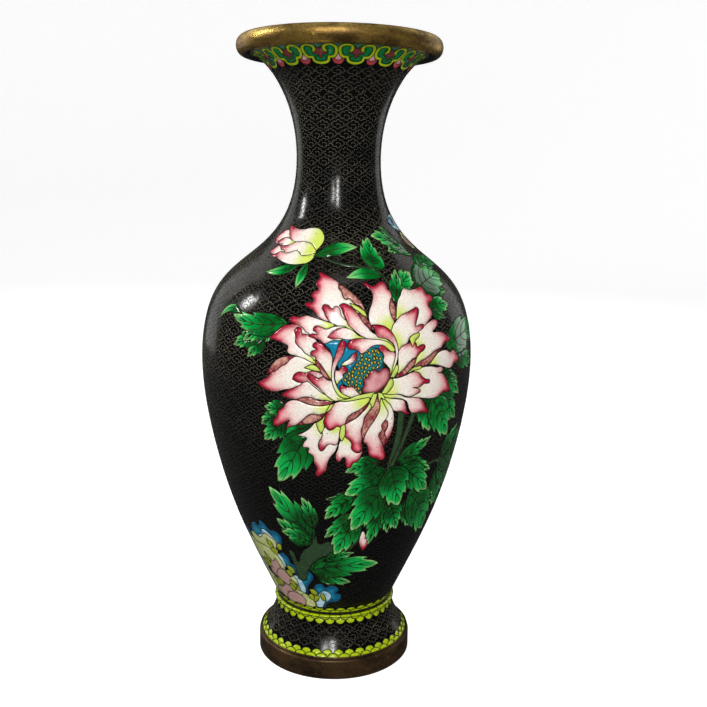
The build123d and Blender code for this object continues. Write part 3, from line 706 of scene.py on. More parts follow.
# %% Cells of the rock, each with the number of its glass
DEEP, PALE, YELLOW, PINK, MOSS = 0.0, 1.0, 2.0, 3.0, 4.0
rock = [
    (DEEP, [(-150, 84), (-150, 100), (-140, 94), (-128, 99), (-118, 94), (-106, 97), (-98, 90), (-88, 88), (-82, 80),
            (-110, 72), (-140, 74)]),
    (DEEP, [(-80, 80, 1), (-81, 90), (-77, 96, 1), (-70, 98.5), (-66, 97), (-62, 101.5), (-56, 99), (-54, 96.5, 1),
            (-47, 96.5), (-42.5, 93.5, 1), (-44, 88.5), (-48, 84), (-58, 84), (-66, 82)]),
    (PALE, [(-72, 88), (-66, 91), (-62, 95.5), (-54, 93), (-49, 88), (-54, 84), (-62, 85)]),
    (YELLOW, [(-84, 88), (-70, 87.5), (-62, 92), (-54, 90.5), (-50.5, 88), (-54, 82), (-66, 80), (-80, 78)]),
    (DEEP, [(-51, 80), (-46, 81.5), (-41.5, 78.5), (-40, 74), (-36.5, 73.5), (-35.5, 68), (-39, 66), (-45, 69),
            (-52, 72), (-56, 77)]),
    (PALE, [(-57, 80), (-51, 79.5), (-47, 74), (-49, 70), (-56, 72)]),
    (PALE, [(-150, 86), (-132, 90), (-116, 86), (-104, 88), (-92, 84), (-84, 76), (-96, 66), (-120, 62), (-150, 64)]),
    (YELLOW, [(-150, 78), (-128, 80), (-108, 84), (-92, 84), (-78, 82), (-66, 82), (-56, 79), (-50, 70), (-54, 62),
              (-70, 62), (-90, 68), (-120, 70), (-150, 68)]),
    (PALE, [(-150, 66), (-126, 67), (-104, 70), (-88, 66), (-80, 56), (-92, 46), (-120, 42), (-150, 44)]),
    (DEEP, [(-36, 64), (-31, 66), (-27, 70.5), (-21, 69.5), (-19.5, 66), (-24, 61), (-28, 57), (-30, 52), (-40, 54)]),
    (PALE, [(-46, 62), (-39, 65.5), (-34, 63), (-31, 55), (-37, 51), (-44, 56)]),
    (YELLOW, [(-60, 66), (-50, 67.5), (-44, 65), (-39, 61), (-42, 55), (-54, 54), (-64, 58)]),
    (PINK, [(-77, 61, 1), (-74, 68), (-69, 72.5), (-64, 71.5), (-60, 74), (-56, 69), (-58, 62), (-66, 58)]),
    (PINK, [(-68, 60), (-63, 65), (-57, 67.5), (-50, 65), (-46.5, 60), (-51, 55.5), (-60, 56)]),
    (YELLOW, [(-150, 54), (-120, 58), (-96, 62), (-82, 60), (-72, 56), (-66, 50), (-78, 45), (-110, 43), (-150, 45)]),
    (DEEP, [(-21, 57), (-18.5, 60.5), (-12, 61.5), (-8, 59), (-3, 60.5), (3.5, 59.8), (6, 57), (3, 54.3, 1), (9, 53),
            (9, 49), (4, 47), (-3, 46.5), (-8, 45), (-10, 42), (-24, 42), (-25, 47), (-20, 51)]),
    (PALE, [(-15, 54), (-9, 56), (-2, 52.5), (-4, 48.5), (-10, 46), (-14, 42), (-22, 42), (-25, 46), (-20, 50)]),
    (YELLOW, [(-54, 54), (-45, 53.5), (-36, 52.5), (-27, 50), (-22, 46), (-22, 42), (-38, 42), (-46, 46)]),
    (PINK, [(-84, 46), (-76, 51), (-66, 54), (-55, 55), (-46, 52.5), (-42, 48), (-40, 42), (-60, 42)]),
    (PINK, [(-66, 43), (-60, 48.5), (-50, 50.5), (-41, 49.5), (-35, 46), (-36, 42), (-50, 41.8)]),
    (YELLOW, [(-37, 42), (-35, 46), (-39, 50), (-30, 50.5), (-23.5, 46), (-23.5, 42)]),
]
moss = [((-17, 53), (-27, 56)), ((-16, 51), (-27, 48)), ((-15, 53), (-9, 47)), ((-22, 50), (-30, 51)),
        ((-38, 54), (-45, 58)), ((-42, 56), (-50, 60)), ((-45, 54), (-53, 56)), ((-38, 68), (-47, 72)),
        ((-42, 66), (-51, 67)), ((-70, 66), (-80, 71)), ((-68, 70), (-75, 76)), ((-76, 66), (-88, 68)),
        ((-62, 54), (-72, 58)), ((-68, 52), (-80, 56)), ((-51, 82), (-61, 81)), ((-50, 83), (-45, 87)),
        ((-55, 84), (-62, 88)), ((-98, 68), (-108, 74)), ((-104, 58), (-116, 62)), ((-124, 66), (-134, 70))]

# %% The buds, petal by petal
bud_petals = [
    ((-16, 262), [(-14, 265.5), (-17, 269.5), (-24, 271.8), (-34, 272), (-45, 271), (-56, 271.3), (-64, 272.3),
                  (-71.5, 273.7, 1), (-69, 270.3), (-64, 268), (-60, 266), (-52, 262), (-42, 262), (-30, 262),
                  (-20, 259.5, 1)]),
    ((-52, 264), [(-86, 265, 1), (-82, 268.5), (-75, 270), (-69, 270.2), (-64, 268), (-60, 266), (-58, 262),
                  (-68, 262), (-74, 262.3), (-80, 263)]),
    ((-46, 263), [(-76, 263.5, 1), (-70, 265.5), (-64, 266), (-58, 265.5), (-52, 264.4), (-46, 263), (-55, 261),
                  (-62, 261), (-66, 262.6), (-71, 262.1)]),
    ((-20, 258), [(-66, 261, 1), (-62, 261.7), (-56, 262), (-46, 264), (-34, 264.3), (-26, 263), (-20, 260, 1),
                  (-20, 256), (-30, 255), (-40, 256), (-50, 257), (-58, 258), (-60, 259.3), (-64, 260)]),
    ((-52, 258), [(-74, 259, 1), (-70, 261.5), (-65, 261.2), (-60, 259.5), (-54, 258.5), (-58, 256.5), (-68, 257),
                  (-74, 257.6)]),
    ((-22, 257), [(-69, 255, 1), (-62, 257.5), (-58, 258.6), (-50, 258), (-40, 259.6), (-32, 257.2), (-24, 258, 1),
                  (-20, 258), (-22, 254.5), (-30, 252.8), (-40, 252.5), (-50, 253.8), (-60, 255.6)]),
]
small_bud = ((24, 110), [(22, 101), (20.3, 94), (21.3, 91), (24.5, 86.5, 1), (27.7, 90), (27.7, 93), (25, 98)])
print(len(rock), "rock cells,", len(moss), "moss leaves")

# %% [markdown]
# ## The back and the side
# Round the back these vases carry a smaller spray, and a butterfly hovers on the shoulder. The spray is built
# from the same leaf shape and round frilled petals; the butterfly is a few flat cells in the rock's glasses.

# %% A small blossom with leaves, and a butterfly
blossom_middle = (-188.0, 199.0)


def ring_petal(middle, turn, inner, outer, width):
    """One frilled petal of a round blossom, as its base and its outline."""
    out = np.array([math.cos(turn), math.sin(turn)])
    side = np.array([-out[1], out[0]])
    middle = np.array(middle)
    frill = [random.uniform(0.9, 1.08) for _ in range(4)]
    shape = [(inner, 0.0, 1), (inner + (outer - inner) * 0.45, 0.46), (outer * 0.84 * frill[0], 0.56),
             (outer * 0.88, 0.38, 1), (outer * 1.02 * frill[1], 0.22), (outer * 0.90, 0.04, 1),
             (outer * 1.04 * frill[2], -0.18), (outer * 0.86, -0.36, 1), (outer * 0.86 * frill[3], -0.56),
             (inner + (outer - inner) * 0.45, -0.46)]
    outline = [(*(middle + out * p[0] + side * p[1] * width), *p[2:]) for p in shape]
    return tuple(middle + out * inner), outline


blossom = [ring_petal(blossom_middle, math.radians(k * 51.4 + 10 + random.uniform(-7, 7)), 3.0,
                      random.uniform(16, 19.5), 18.0) for k in range(7)]
blossom += [ring_petal(blossom_middle, math.radians(k * 60 + 32 + random.uniform(-9, 9)), 1.6,
                       random.uniform(9.5, 12.5), 12.5) for k in range(6)]
back_leaves = [((-188, 182), (-190, 146), 13, 1, 2), ((-186, 178), (-166, 156), 12, -1, 2),
               ((-190, 178), (-212, 158), 12, 1, 2), ((-186, 186), (-168, 176), 9, 1, 2)]
butterfly_middle = (127.0, 271.5)
butterfly = [
    (PALE, [(-43, 3.5, 1), (-36, 6), (-22, 8), (-8, 6), (0, 1), (-6, -2), (-20, -1.5), (-36, 1)]),
    (PALE, [(43, 3.5, 1), (36, 7), (22, 9), (8, 6.5), (0, 1), (6, -2), (20, -1.5), (36, 1)]),
    (DEEP, [(-41, 3.5), (-36, 5.2), (-26, 6.2), (-22, 3.5), (-30, 1.6)]),
    (DEEP, [(41, 3.7), (36, 6), (26, 7), (22, 4), (30, 1.8)]),
    (YELLOW, [(0, 0), (-8, -2), (-22, -3), (-28, -8), (-16, -12), (-4, -6)]),
    (YELLOW, [(0, 0), (8, -2), (22, -3), (28, -8), (16, -12), (4, -6)]),
    (PINK, [(-20, -5), (-24, -8), (-16, -10.3), (-10, -6.5)]),
    (PINK, [(20, -5), (24, -8), (16, -10.3), (10, -6.5)]),
    (MOSS, [(-1.6, 5, 1), (0, 6.5), (1.6, 5, 1), (1.5, -8), (0, -12, 1), (-1.5, -8)]),
]
print(len(blossom), "blossom petals,", len(back_leaves), "leaves,", len(butterfly), "butterfly cells")

# %% [markdown]
# ## Materials: what fired glass looks like
# Ground and fired enamel is glossy but not perfect: it waves a little, it is grainy where two glasses were
# laid wet against each other, and small bubbles were cut open by the grinding and hold dark polish. One
# node group makes those marks, and each glass uses it with its own strength.


# %% Small helpers for node trees
def feed(tree, socket, value):
    """Links another socket to this input, or sets a plain value or colour on it."""
    if isinstance(value, bpy.types.NodeSocket):
        tree.links.new(value, socket)
    elif socket.type == "RGBA":
        socket.default_value = (*value, 1.0)
    else:
        socket.default_value = value


def add_node(tree, kind, settings=None, **inputs):
    """A node with settings, and inputs by name, or by number as i0, i1 and so on."""
    node = tree.nodes.new(kind)
    for key, value in (settings or {}).items():
        setattr(node, key, value)
    for key, value in inputs.items():
        number = key[0] == "i" and key[1:].isdigit()
        feed(tree, node.inputs[int(key[1:]) if number else key.replace("_", " ")], value)
    return node


def mix(tree, factor, first, second):
    """The first colour where the factor is 0, the second where it is 1."""
    settings = {"data_type": "RGBA", "clamp_factor": True}
    return add_node(tree, "ShaderNodeMix", settings, i0=factor, i6=first, i7=second).outputs[2]


def maths(tree, operation, first, second):
    return add_node(tree, "ShaderNodeMath", {"operation": operation}, i0=first, i1=second).outputs[0]


def times(tree, first, second):
    return maths(tree, "MULTIPLY", first, second)


def plus(tree, first, second):
    return maths(tree, "ADD", first, second)


def minus(tree, first, second):
    return maths(tree, "SUBTRACT", first, second)


def fade(tree, value, low, high):
    """0 at low and 1 at high, smooth between. Low may be greater than high."""
    ends = (0.0, 1.0) if low < high else (1.0, 0.0)
    low, high = sorted((low, high))
    return add_node(tree, "ShaderNodeMapRange", {"interpolation_type": "SMOOTHSTEP"}, Value=value, From_Min=low,
                    From_Max=high, To_Min=ends[0], To_Max=ends[1]).outputs[0]


def noise(tree, vector, per_mm, detail=2.0, roughness=0.5):
    """Cloudy noise with this many waves in a millimetre."""
    node = add_node(tree, "ShaderNodeTexNoise", None, Vector=vector, Scale=per_mm * 1000, Detail=detail,
                    Roughness=roughness)
    return node.outputs["Fac"]


def new_group(name, takes, gives):
    """An empty node group with named inputs and outputs."""
    group = bpy.data.node_groups.new(name, "ShaderNodeTree")
    for label, kind, value in takes:
        socket = group.interface.new_socket(label, in_out="INPUT", socket_type=kind)
        if value is not None:
            socket.default_value = value
    for label, kind in gives:
        group.interface.new_socket(label, in_out="OUTPUT", socket_type=kind)
    return group, group.nodes.new("NodeGroupInput"), group.nodes.new("NodeGroupOutput")


def place_group(tree, group, **values):
    return add_node(tree, "ShaderNodeGroup", {"node_tree": group}, **values)


def measure(tree, name):
    """One of the measures that a cell keeps for its colours."""
    return add_node(tree, "ShaderNodeAttribute", {"attribute_name": name}).outputs["Fac"]


def place_of(tree):
    """Where on the vase a place is, in metres."""
    return tree.nodes.new("ShaderNodeTexCoord").outputs["Object"]


# %% The fired glass group
fired_glass, takes, gives = new_group(
    "fired_glass", [("Wave", "NodeSocketFloat", 1.0), ("Pits", "NodeSocketFloat", 1.0)],
    [("Grain", "NodeSocketFloat"), ("Pit Mask", "NodeSocketFloat"), ("Roughness", "NodeSocketFloat"),
     ("Height", "NodeSocketFloat")])
where = place_of(fired_glass)
wave = noise(fired_glass, where, 0.12, 1.0)
grain = noise(fired_glass, where, 1.3, 4.0, 0.7)
dots = add_node(fired_glass, "ShaderNodeTexVoronoi", None, Vector=where, Scale=420.0)
pit_size = minus(fired_glass, times(fired_glass, noise(fired_glass, where, 0.09, 2.0), 0.3), 0.13)
pit_mask = maths(fired_glass, "LESS_THAN", dots.outputs["Distance"],
                 times(fired_glass, pit_size, takes.outputs["Pits"]))
smear = noise(fired_glass, where, 0.05, 3.0, 0.6)
polish = plus(fired_glass, times(fired_glass, smear, 0.16),
               times(fired_glass, grain, 0.06))
height = minus(fired_glass, times(fired_glass, wave, takes.outputs["Wave"]),
               times(fired_glass, pit_mask, 0.25))
fired_glass.links.new(grain, gives.inputs["Grain"])
fired_glass.links.new(pit_mask, gives.inputs["Pit Mask"])
fired_glass.links.new(polish, gives.inputs["Roughness"])
fired_glass.links.new(height, gives.inputs["Height"])


def glass(name, paint, wave=1.0, pits=1.0, bump=0.35, coat=0.6):
    """A fired glass material. paint(tree, skin) returns the colour socket."""
    material = bpy.data.materials.new(name)
    material.use_nodes = True
    tree = material.node_tree
    shader = tree.nodes["Principled BSDF"]
    skin = place_group(tree, fired_glass, Wave=wave, Pits=pits)
    colour = paint(tree, skin)
    colour = mix(tree, times(tree, skin.outputs["Pit Mask"], 0.8), colour, (0.05, 0.04, 0.03))
    tree.links.new(colour, shader.inputs["Base Color"])
    tree.links.new(plus(tree, skin.outputs["Roughness"], 0.06), shader.inputs["Roughness"])
    shader.inputs["IOR"].default_value = 1.5
    shader.inputs["Coat Weight"].default_value = coat
    shader.inputs["Coat Roughness"].default_value = 0.08
    bumps = add_node(tree, "ShaderNodeBump", None, Height=skin.outputs["Height"], Strength=bump, Distance=0.0004)
    tree.links.new(bumps.outputs["Normal"], shader.inputs["Normal"])
    return material


print("fired glass group has", len(fired_glass.nodes), "nodes")

# %% [markdown]
# ## Colours of the petals and leaves
# The glasses are laid in with a small spoon, wet and side by side, so the colours run into each other in
# grains. The distance from the cell's edge and from its base say which glass belongs there, and a fine
# noise pushes that distance about, so that every border between colours is ragged.


# %% Petals, turned edges and slips
def petal_paint(tree, skin):
    where = place_of(tree)
    rag = minus(tree, noise(tree, where, 0.9, 4.0, 0.75), 0.5)
    drift = minus(tree, noise(tree, where, 0.14, 2.0), 0.5)
    edge = plus(tree, measure(tree, "edge"), times(tree, rag, 3.2))
    edge = plus(tree, edge, times(tree, drift, 3.0))
    along = plus(tree, measure(tree, "along"), times(tree, rag, 0.12))
    white = mix(tree, fade(tree, skin.outputs["Grain"], 0.3, 0.7), (0.76, 0.66, 0.57), (0.97, 0.92, 0.84))
    green = mix(tree, fade(tree, along, 0.42, 0.12), white, (0.62, 0.74, 0.12))
    outer = fade(tree, along, 0.38, 0.78)
    reach = plus(tree, along, times(tree, rag, 0.30))
    reach = plus(tree, reach, times(tree, drift, 0.35))
    blush = times(tree, fade(tree, reach, 0.50, 0.94), fade(tree, edge, 9.0, 0.8))
    side = times(tree, fade(tree, edge, 3.0, 0.4), outer)
    blush = maths(tree, "MAXIMUM", blush, times(tree, side, 0.6))
    pink = mix(tree, times(tree, blush, 0.95), green, (0.74, 0.085, 0.15))
    tip = times(tree, fade(tree, edge, 3.0, 0.6), fade(tree, reach, 0.58, 0.86))
    return mix(tree, times(tree, tip, 0.97), pink, (0.33, 0.003, 0.024))


def fold_paint(tree, skin):
    rag = noise(tree, place_of(tree), 0.7, 4.0, 0.75)
    edge = plus(tree, measure(tree, "edge"), times(tree, rag, 1.4))
    drift = noise(tree, place_of(tree), 0.16, 3.0)
    spread = plus(tree, times(tree, rag, 0.5), times(tree, drift, 0.5))
    rose = mix(tree, fade(tree, spread, 0.38, 0.62), (0.24, 0.035, 0.04), (0.62, 0.34, 0.26))
    return mix(tree, fade(tree, edge, 1.7, 0.6), rose, (0.20, 0.008, 0.025))


def slip_paint(tree, skin):
    rag = noise(tree, place_of(tree), 0.8, 4.0, 0.7)
    return mix(tree, rag, (0.40, 0.56, 0.03), (0.74, 0.82, 0.24))


def leaf_paint(tree, skin):
    where = place_of(tree)
    rag = minus(tree, noise(tree, where, 0.7, 4.0, 0.7), 0.5)
    edge = plus(tree, measure(tree, "edge"), times(tree, rag, 1.8))
    along = plus(tree, measure(tree, "along"), times(tree, rag, 0.16))
    streak = times(tree, fade(tree, noise(tree, where, 0.22, 3.0), 0.3, 0.7), measure(tree, "shade"))
    deep = mix(tree, streak, (0.0, 0.055, 0.006), (0.0, 0.22, 0.025))
    mid = mix(tree, fade(tree, along, 0.38, 0.74), deep, (0.0, 0.42, 0.07))
    tip = mix(tree, fade(tree, along, 0.84, 1.0), mid, (0.20, 0.62, 0.20))
    rim = times(tree, fade(tree, edge, 2.2, 0.2), fade(tree, along, 0.52, 0.9))
    return mix(tree, times(tree, rim, 0.8), tip, (0.36, 0.70, 0.24))


petal_glass = glass("petal_glass", petal_paint, pits=2.2)
fold_glass = glass("fold_glass", fold_paint)
slip_glass = glass("slip_glass", slip_paint)
leaf_glass = glass("leaf_glass", leaf_paint, pits=0.7)
print("petal glass has", len(petal_glass.node_tree.nodes), "nodes, leaf glass", len(leaf_glass.node_tree.nodes))


# %% Rock, heart, stems and the narrow borders
def rock_paint(tree, skin):
    where = place_of(tree)
    rag = noise(tree, where, 0.35, 5.0, 0.7)
    tone = measure(tree, "tone")
    edge = plus(tree, measure(tree, "edge"), times(tree, rag, 3.0))
    deep = mix(tree, fade(tree, edge, 3.0, 6.5), (0.0, 0.09, 0.19), (0.01, 0.23, 0.35))
    pale = mix(tree, fade(tree, rag, 0.35, 0.65), (0.20, 0.48, 0.66), (0.62, 0.78, 0.82))
    yellow = mix(tree, fade(tree, rag, 0.35, 0.65), (0.44, 0.52, 0.14), (0.66, 0.66, 0.34))
    pink = mix(tree, rag, (0.40, 0.20, 0.19), (0.62, 0.40, 0.36))
    moss_green = mix(tree, rag, (0.20, 0.26, 0.01), (0.42, 0.48, 0.03))
    colour = mix(tree, fade(tree, tone, 0.4, 0.6), deep, pale)
    colour = mix(tree, fade(tree, tone, 1.4, 1.6), colour, yellow)
    colour = mix(tree, fade(tree, tone, 2.4, 2.6), colour, pink)
    return mix(tree, fade(tree, tone, 3.4, 3.6), colour, moss_green)


def two_tone(first, second, per_mm=0.5, rim=None, rim_width=1.0):
    def paint(tree, skin):
        colour = mix(tree, noise(tree, place_of(tree), per_mm, 4.0, 0.65), first, second)
        if rim:
            ragged = plus(tree, measure(tree, "edge"), times(tree, skin.outputs["Grain"], 0.5))
            colour = mix(tree, fade(tree, ragged, rim_width, 0.2), colour, rim)
        return colour
    return paint


rock_glass = glass("rock_glass", rock_paint, pits=1.2)
heart_glass = glass("heart_glass", two_tone((0.0, 0.11, 0.22), (0.01, 0.30, 0.48), 0.4))
bed_glass = glass("stamen_bed_glass", two_tone((0.0, 0.12, 0.14), (0.02, 0.26, 0.24), 0.6))
stamen_glass = glass("stamen_glass", two_tone((0.44, 0.32, 0.01), (0.72, 0.58, 0.06), 0.8))
centre_glass = glass("centre_glass", two_tone((0.34, 0.02, 0.06), (0.90, 0.52, 0.50), 0.24,
                                              (0.22, 0.005, 0.025), 3.4))
stem_glass = glass("stem_glass", two_tone((0.010, 0.03, 0.012), (0.04, 0.09, 0.035), 0.4))
lime_glass = glass("lime_glass", two_tone((0.26, 0.40, 0.0), (0.56, 0.66, 0.01), 0.45, (0.20, 0.33, 0.0), 0.7))
teal_glass = glass("teal_glass", two_tone((0.03, 0.13, 0.085), (0.07, 0.21, 0.14), 0.3))
emerald_glass = glass("emerald_glass", two_tone((0.0, 0.11, 0.03), (0.0, 0.28, 0.06), 0.5))
maroon_glass = glass("maroon_glass", two_tone((0.13, 0.02, 0.025), (0.28, 0.05, 0.05), 0.6))
red_glass = glass("red_glass", two_tone((0.36, 0.03, 0.04), (0.60, 0.08, 0.10), 0.6))
blush_glass = glass("blush_glass", two_tone((0.66, 0.24, 0.26), (0.84, 0.48, 0.46), 0.6))
print(len([m for m in bpy.data.materials if m.name.endswith("_glass")]), "glasses mixed")

# %% [markdown]
# ## Black ground
# The ground is black glass. It mirrors the room, so its look is mostly reflection: a fine haze of polishing
# marks, and a slow wave that breaks every reflected window into ripples.


# %% Black glass and the dark lining
def black_paint(tree, skin):
    return mix(tree, skin.outputs["Grain"], (0.0008, 0.0008, 0.0009), (0.0022, 0.0022, 0.0025))


black_glass = glass("black_glass", black_paint, pits=0.9, bump=0.5, coat=0.0)
lining_glass = glass("lining_glass", two_tone((0.008, 0.05, 0.055), (0.02, 0.11, 0.11), 0.2), wave=1.6, bump=0.7)
print("ground:", black_glass.name, "lining:", lining_glass.name)

# %% [markdown]
# ## Metals
# The rings and wires are brass that has darkened with age. One group gives a worn mask with patina and
# specks; each metal chooses its two colours. Some metals also carry painted light: the rim has a painted
# highlight on its upward faces and painted shade on its under and inner side, and the cloud wires on the
# body are painted darker towards the bottom as shade.

# %% The patina group and the metals
patina, takes, gives = new_group(
    "patina", [("Scale", "NodeSocketFloat", 1.0)],
    [("Worn", "NodeSocketFloat"), ("Speck", "NodeSocketFloat"), ("Height", "NodeSocketFloat")])
where = place_of(patina)
stretched = add_node(patina, "ShaderNodeMapping", None, Vector=where, Scale=(1.0, 1.0, 2.2)).outputs[0]
sized = add_node(patina, "ShaderNodeVectorMath", {"operation": "SCALE"}, i0=stretched)
patina.links.new(takes.outputs["Scale"], sized.inputs["Scale"])
broad = noise(patina, sized.outputs[0], 0.06, 5.0, 0.6)
fine = noise(patina, sized.outputs[0], 0.8, 5.0, 0.7)
worn = plus(patina, times(patina, broad, 0.7), times(patina, fine, 0.3))
speck = fade(patina, noise(patina, sized.outputs[0], 0.45, 4.0, 0.7), 0.60, 0.72)
patina.links.new(fade(patina, worn, 0.38, 0.62), gives.inputs["Worn"])
patina.links.new(speck, gives.inputs["Speck"])
patina.links.new(minus(patina, fine, times(patina, speck, 0.6)), gives.inputs["Height"])


def metal(name, dark, bright, stain, rough, scale=1.0, metallic=1.0, painted_shade=None):
    """Aged metal: dark and bright by wear, stained in specks. The last argument gives two heights between which
    the colour is painted darker as shade, or the value inside, which paints shade near black on the under and
    inner side of a ring and a painted highlight on its upward faces."""
    material = bpy.data.materials.new(name)
    material.use_nodes = True
    tree = material.node_tree
    shader = tree.nodes["Principled BSDF"]
    age = place_group(tree, patina, Scale=scale)
    colour = mix(tree, age.outputs["Worn"], dark, bright)
    colour = mix(tree, times(tree, age.outputs["Speck"], 0.75), colour, stain)
    if painted_shade == "inside":
        outward = add_node(tree, "ShaderNodeVectorMath", {"operation": "MULTIPLY"}, i0=place_of(tree),
                           i1=(1.0, 1.0, 0.0))
        outward = add_node(tree, "ShaderNodeVectorMath", {"operation": "NORMALIZE"}, i0=outward.outputs[0])
        facing = tree.nodes.new("ShaderNodeNewGeometry").outputs["Normal"]
        out = add_node(tree, "ShaderNodeVectorMath", {"operation": "DOT_PRODUCT"}, i0=outward.outputs[0], i1=facing)
        up = add_node(tree, "ShaderNodeSeparateXYZ", None, Vector=facing).outputs[2]
        # Painted shade: faces that look inward and down, the ring's under and inner side, are painted near black.
        low = times(tree, fade(tree, out.outputs["Value"], 0.15, -0.15), fade(tree, up, 0.35, 0.0))
        # Painted highlight: faces that look up are painted bright gold, strongest where the wear mask is high.
        painted_highlight_and_wear = times(tree, fade(tree, up, 0.1, 0.7), fade(tree, age.outputs["Worn"], -0.3, 1.0))
        colour = mix(tree, painted_highlight_and_wear, colour, (0.95, 0.66, 0.19))
        colour = mix(tree, times(tree, low, 0.97), colour, (0.004, 0.005, 0.004))
    elif painted_shade:
        # Painted shade: the colour darkens from the first height down to the second, to a third of the dark tone.
        height = add_node(tree, "ShaderNodeSeparateXYZ", None, Vector=place_of(tree)).outputs[2]
        colour = mix(tree, fade(tree, height, *painted_shade), colour, tuple(0.3 * v for v in dark))
    tree.links.new(colour, shader.inputs["Base Color"])
    span = add_node(tree, "ShaderNodeMapRange", None, Value=age.outputs["Worn"], To_Min=rough[1], To_Max=rough[0])
    tree.links.new(span.outputs[0], shader.inputs["Roughness"])
    shader.inputs["Metallic"].default_value = metallic
    bumps = add_node(tree, "ShaderNodeBump", None, Height=age.outputs["Height"], Strength=0.5, Distance=0.0003)
    tree.links.new(bumps.outputs["Normal"], shader.inputs["Normal"])
    return material


# The rim's metal carries a painted highlight on its upward faces and painted shade on its under and inner side.
rim_brass = metal("rim_brass_aged_painted_light", (0.17, 0.095, 0.03), (0.66, 0.41, 0.09), (0.06, 0.035, 0.013),
                  rough=(0.22, 0.40), metallic=0.85, painted_shade="inside")
foot_brass = metal("foot_brass_aged", (0.034, 0.020, 0.010), (0.13, 0.075, 0.032), (0.44, 0.24, 0.09),
                   rough=(0.34, 0.55), scale=0.8, metallic=0.7)
dark_wire = metal("cell_wire", (0.007, 0.005, 0.003), (0.03, 0.022, 0.010), (0.01, 0.008, 0.005),
                  rough=(0.4, 0.6), metallic=0.5)
cloud_tones = (0.055, 0.052, 0.039), (0.15, 0.137, 0.09), (0.38, 0.27, 0.08)
# Painted shade: the body's cloud wires darken from 260 mm down to 100 mm; the foot's cloud wires do not.
cloud_wire = metal("cloud_wire", *cloud_tones, rough=(0.4, 0.6), scale=0.35, metallic=0.5, painted_shade=(0.26, 0.10))
foot_cloud_wire = metal("foot_cloud_wire", *cloud_tones, rough=(0.4, 0.6), scale=0.35, metallic=0.5)
copper_glow = metal("copper_aged", (0.20, 0.08, 0.04), (0.55, 0.26, 0.14), (0.05, 0.06, 0.04), rough=(0.35, 0.6))
print("metals:", rim_brass.name, foot_brass.name, dark_wire.name, cloud_wire.name, copper_glow.name)

# %% [markdown]
# ## Laying the picture
# All cells of the front picture go into one triangulation, from the rock at the back to the petals in
# front. The veins of a leaf are open wires: they stop where another leaf or petal lies over it.


# %% Add cells, leaves and stems to the picture
VEIN_STEP = 0.8
cells, vein_lines = [], []


def add_cell(piece, outline, base=None, wire="flower", tone=0.0):
    cells.append(Cell(piece, outline if isinstance(outline, np.ndarray) else rounded(outline), base, wire, tone))


def add_leaf(piece, *shape):
    outline, veins = leaf(*shape)
    add_cell(piece, outline, shape[0], "leaf")
    vein_lines.extend((len(cells), rounded(line, closed=False, step=VEIN_STEP)) for line in veins)


def add_leaves(name):
    for row in leaves:
        if row[0] == name:
            add_leaf(*row)


def add_stem(name):
    for piece, line, wide, narrow in stems:
        if piece == name:
            add_cell(piece, band(line, wide, narrow), None, "stem")


# %% Rock, branch, leaves and buds, from the back
MOSS_WIDTH, MOSS_BEND = 4.2, 0.6
for tone, outline in rock:
    add_cell("rock", outline, None, "rock", tone)
for start, tip in moss:
    add_cell("rock", leaf(start, tip, MOSS_WIDTH, MOSS_BEND, 0)[0], None, "rock", MOSS)
add_stem("branch")
add_cell("branch", branch_outline, None, "stem")
add_stem("bud_stem")
for name in ("branch_leaves", "foot_leaves", "side_leaves", "left_leaves", "lower_left_leaves", "right_leaves",
             "shoulder_leaves", "upper_leaves", "lower_right_leaves"):
    add_leaves(name)
add_stem("main_stem")
add_cell("small_bud", small_bud[1], small_bud[0])
add_leaves("leaf_cluster")
add_leaves("bud_sepals")
for base, outline in bud_petals:
    add_cell("shoulder_bud", outline, base)
add_leaves("bud_leaf")
print(len(cells), "cells behind the bloom")

# %% The bloom, with stamens scattered in its bed
OUTER_PETALS = 24
TRIES, MOST_STAMENS = 3000, 80
STAMEN_WIDE, STAMEN_TALL, STAMEN_GAP, STAMEN_FLATTER = 0.66, 0.92, 1.62, 0.8


def oval(turns):
    """Cosines and sines of even turns round a ring."""
    return [(math.cos(a), math.sin(a)) for a in np.linspace(0, 2 * math.pi, turns + 1)[:-1]]


for base, outline in petals[:OUTER_PETALS]:
    add_cell("peony_petals", outline, base)
add_cell("peony_heart", heart)
add_cell("stamen_bed", stamen_bed)
bed = rounded(stamen_bed)
laid = []
for _ in range(TRIES):
    spot = np.array([random.uniform(4, 28), random.uniform(185, 212)])
    if len(laid) < MOST_STAMENS and inside(spot[None], bed)[0] and distance_to(spot[None], bed)[0] > 0.9:
        if all(np.linalg.norm((spot - other) * (1, STAMEN_FLATTER)) > STAMEN_GAP for other in laid):
            laid.append(spot)
            lean = random.uniform(-0.3, 0.3)
            ring = [(x * STAMEN_WIDE, y * STAMEN_TALL) for x, y in oval(8)]
            add_cell("stamens", rounded([(spot[0] + x + lean * y, spot[1] + y) for x, y in ring], step=0.5))
add_cell("peony_centre", pink_centre, (22, 186))
for base, outline in petals[OUTER_PETALS:]:
    add_cell("peony_petals", outline, base)
for outline in folds:
    add_cell("peony_folds", outline)
for outline in slips:
    add_cell("peony_slips", outline)
print(len(laid), "stamens")

# %% The spray at the back and the butterfly
BACK_HEART = 2.6  # mm radius
for row in back_leaves:
    add_leaf("back_leaves", *row)
for base, outline in blossom:
    add_cell("back_blossom", outline, base)
add_cell("back_heart", [(blossom_middle[0] + BACK_HEART * x, blossom_middle[1] + BACK_HEART * y)
                        for x, y in oval(12)])
for tone, outline in butterfly:
    add_cell("butterfly", rounded(outline) + np.array(butterfly_middle), butterfly_middle, "butterfly", tone)
print(len(cells), "cells in the picture")


# %% Where a line shows
SHORTEST_RUN = 3  # points


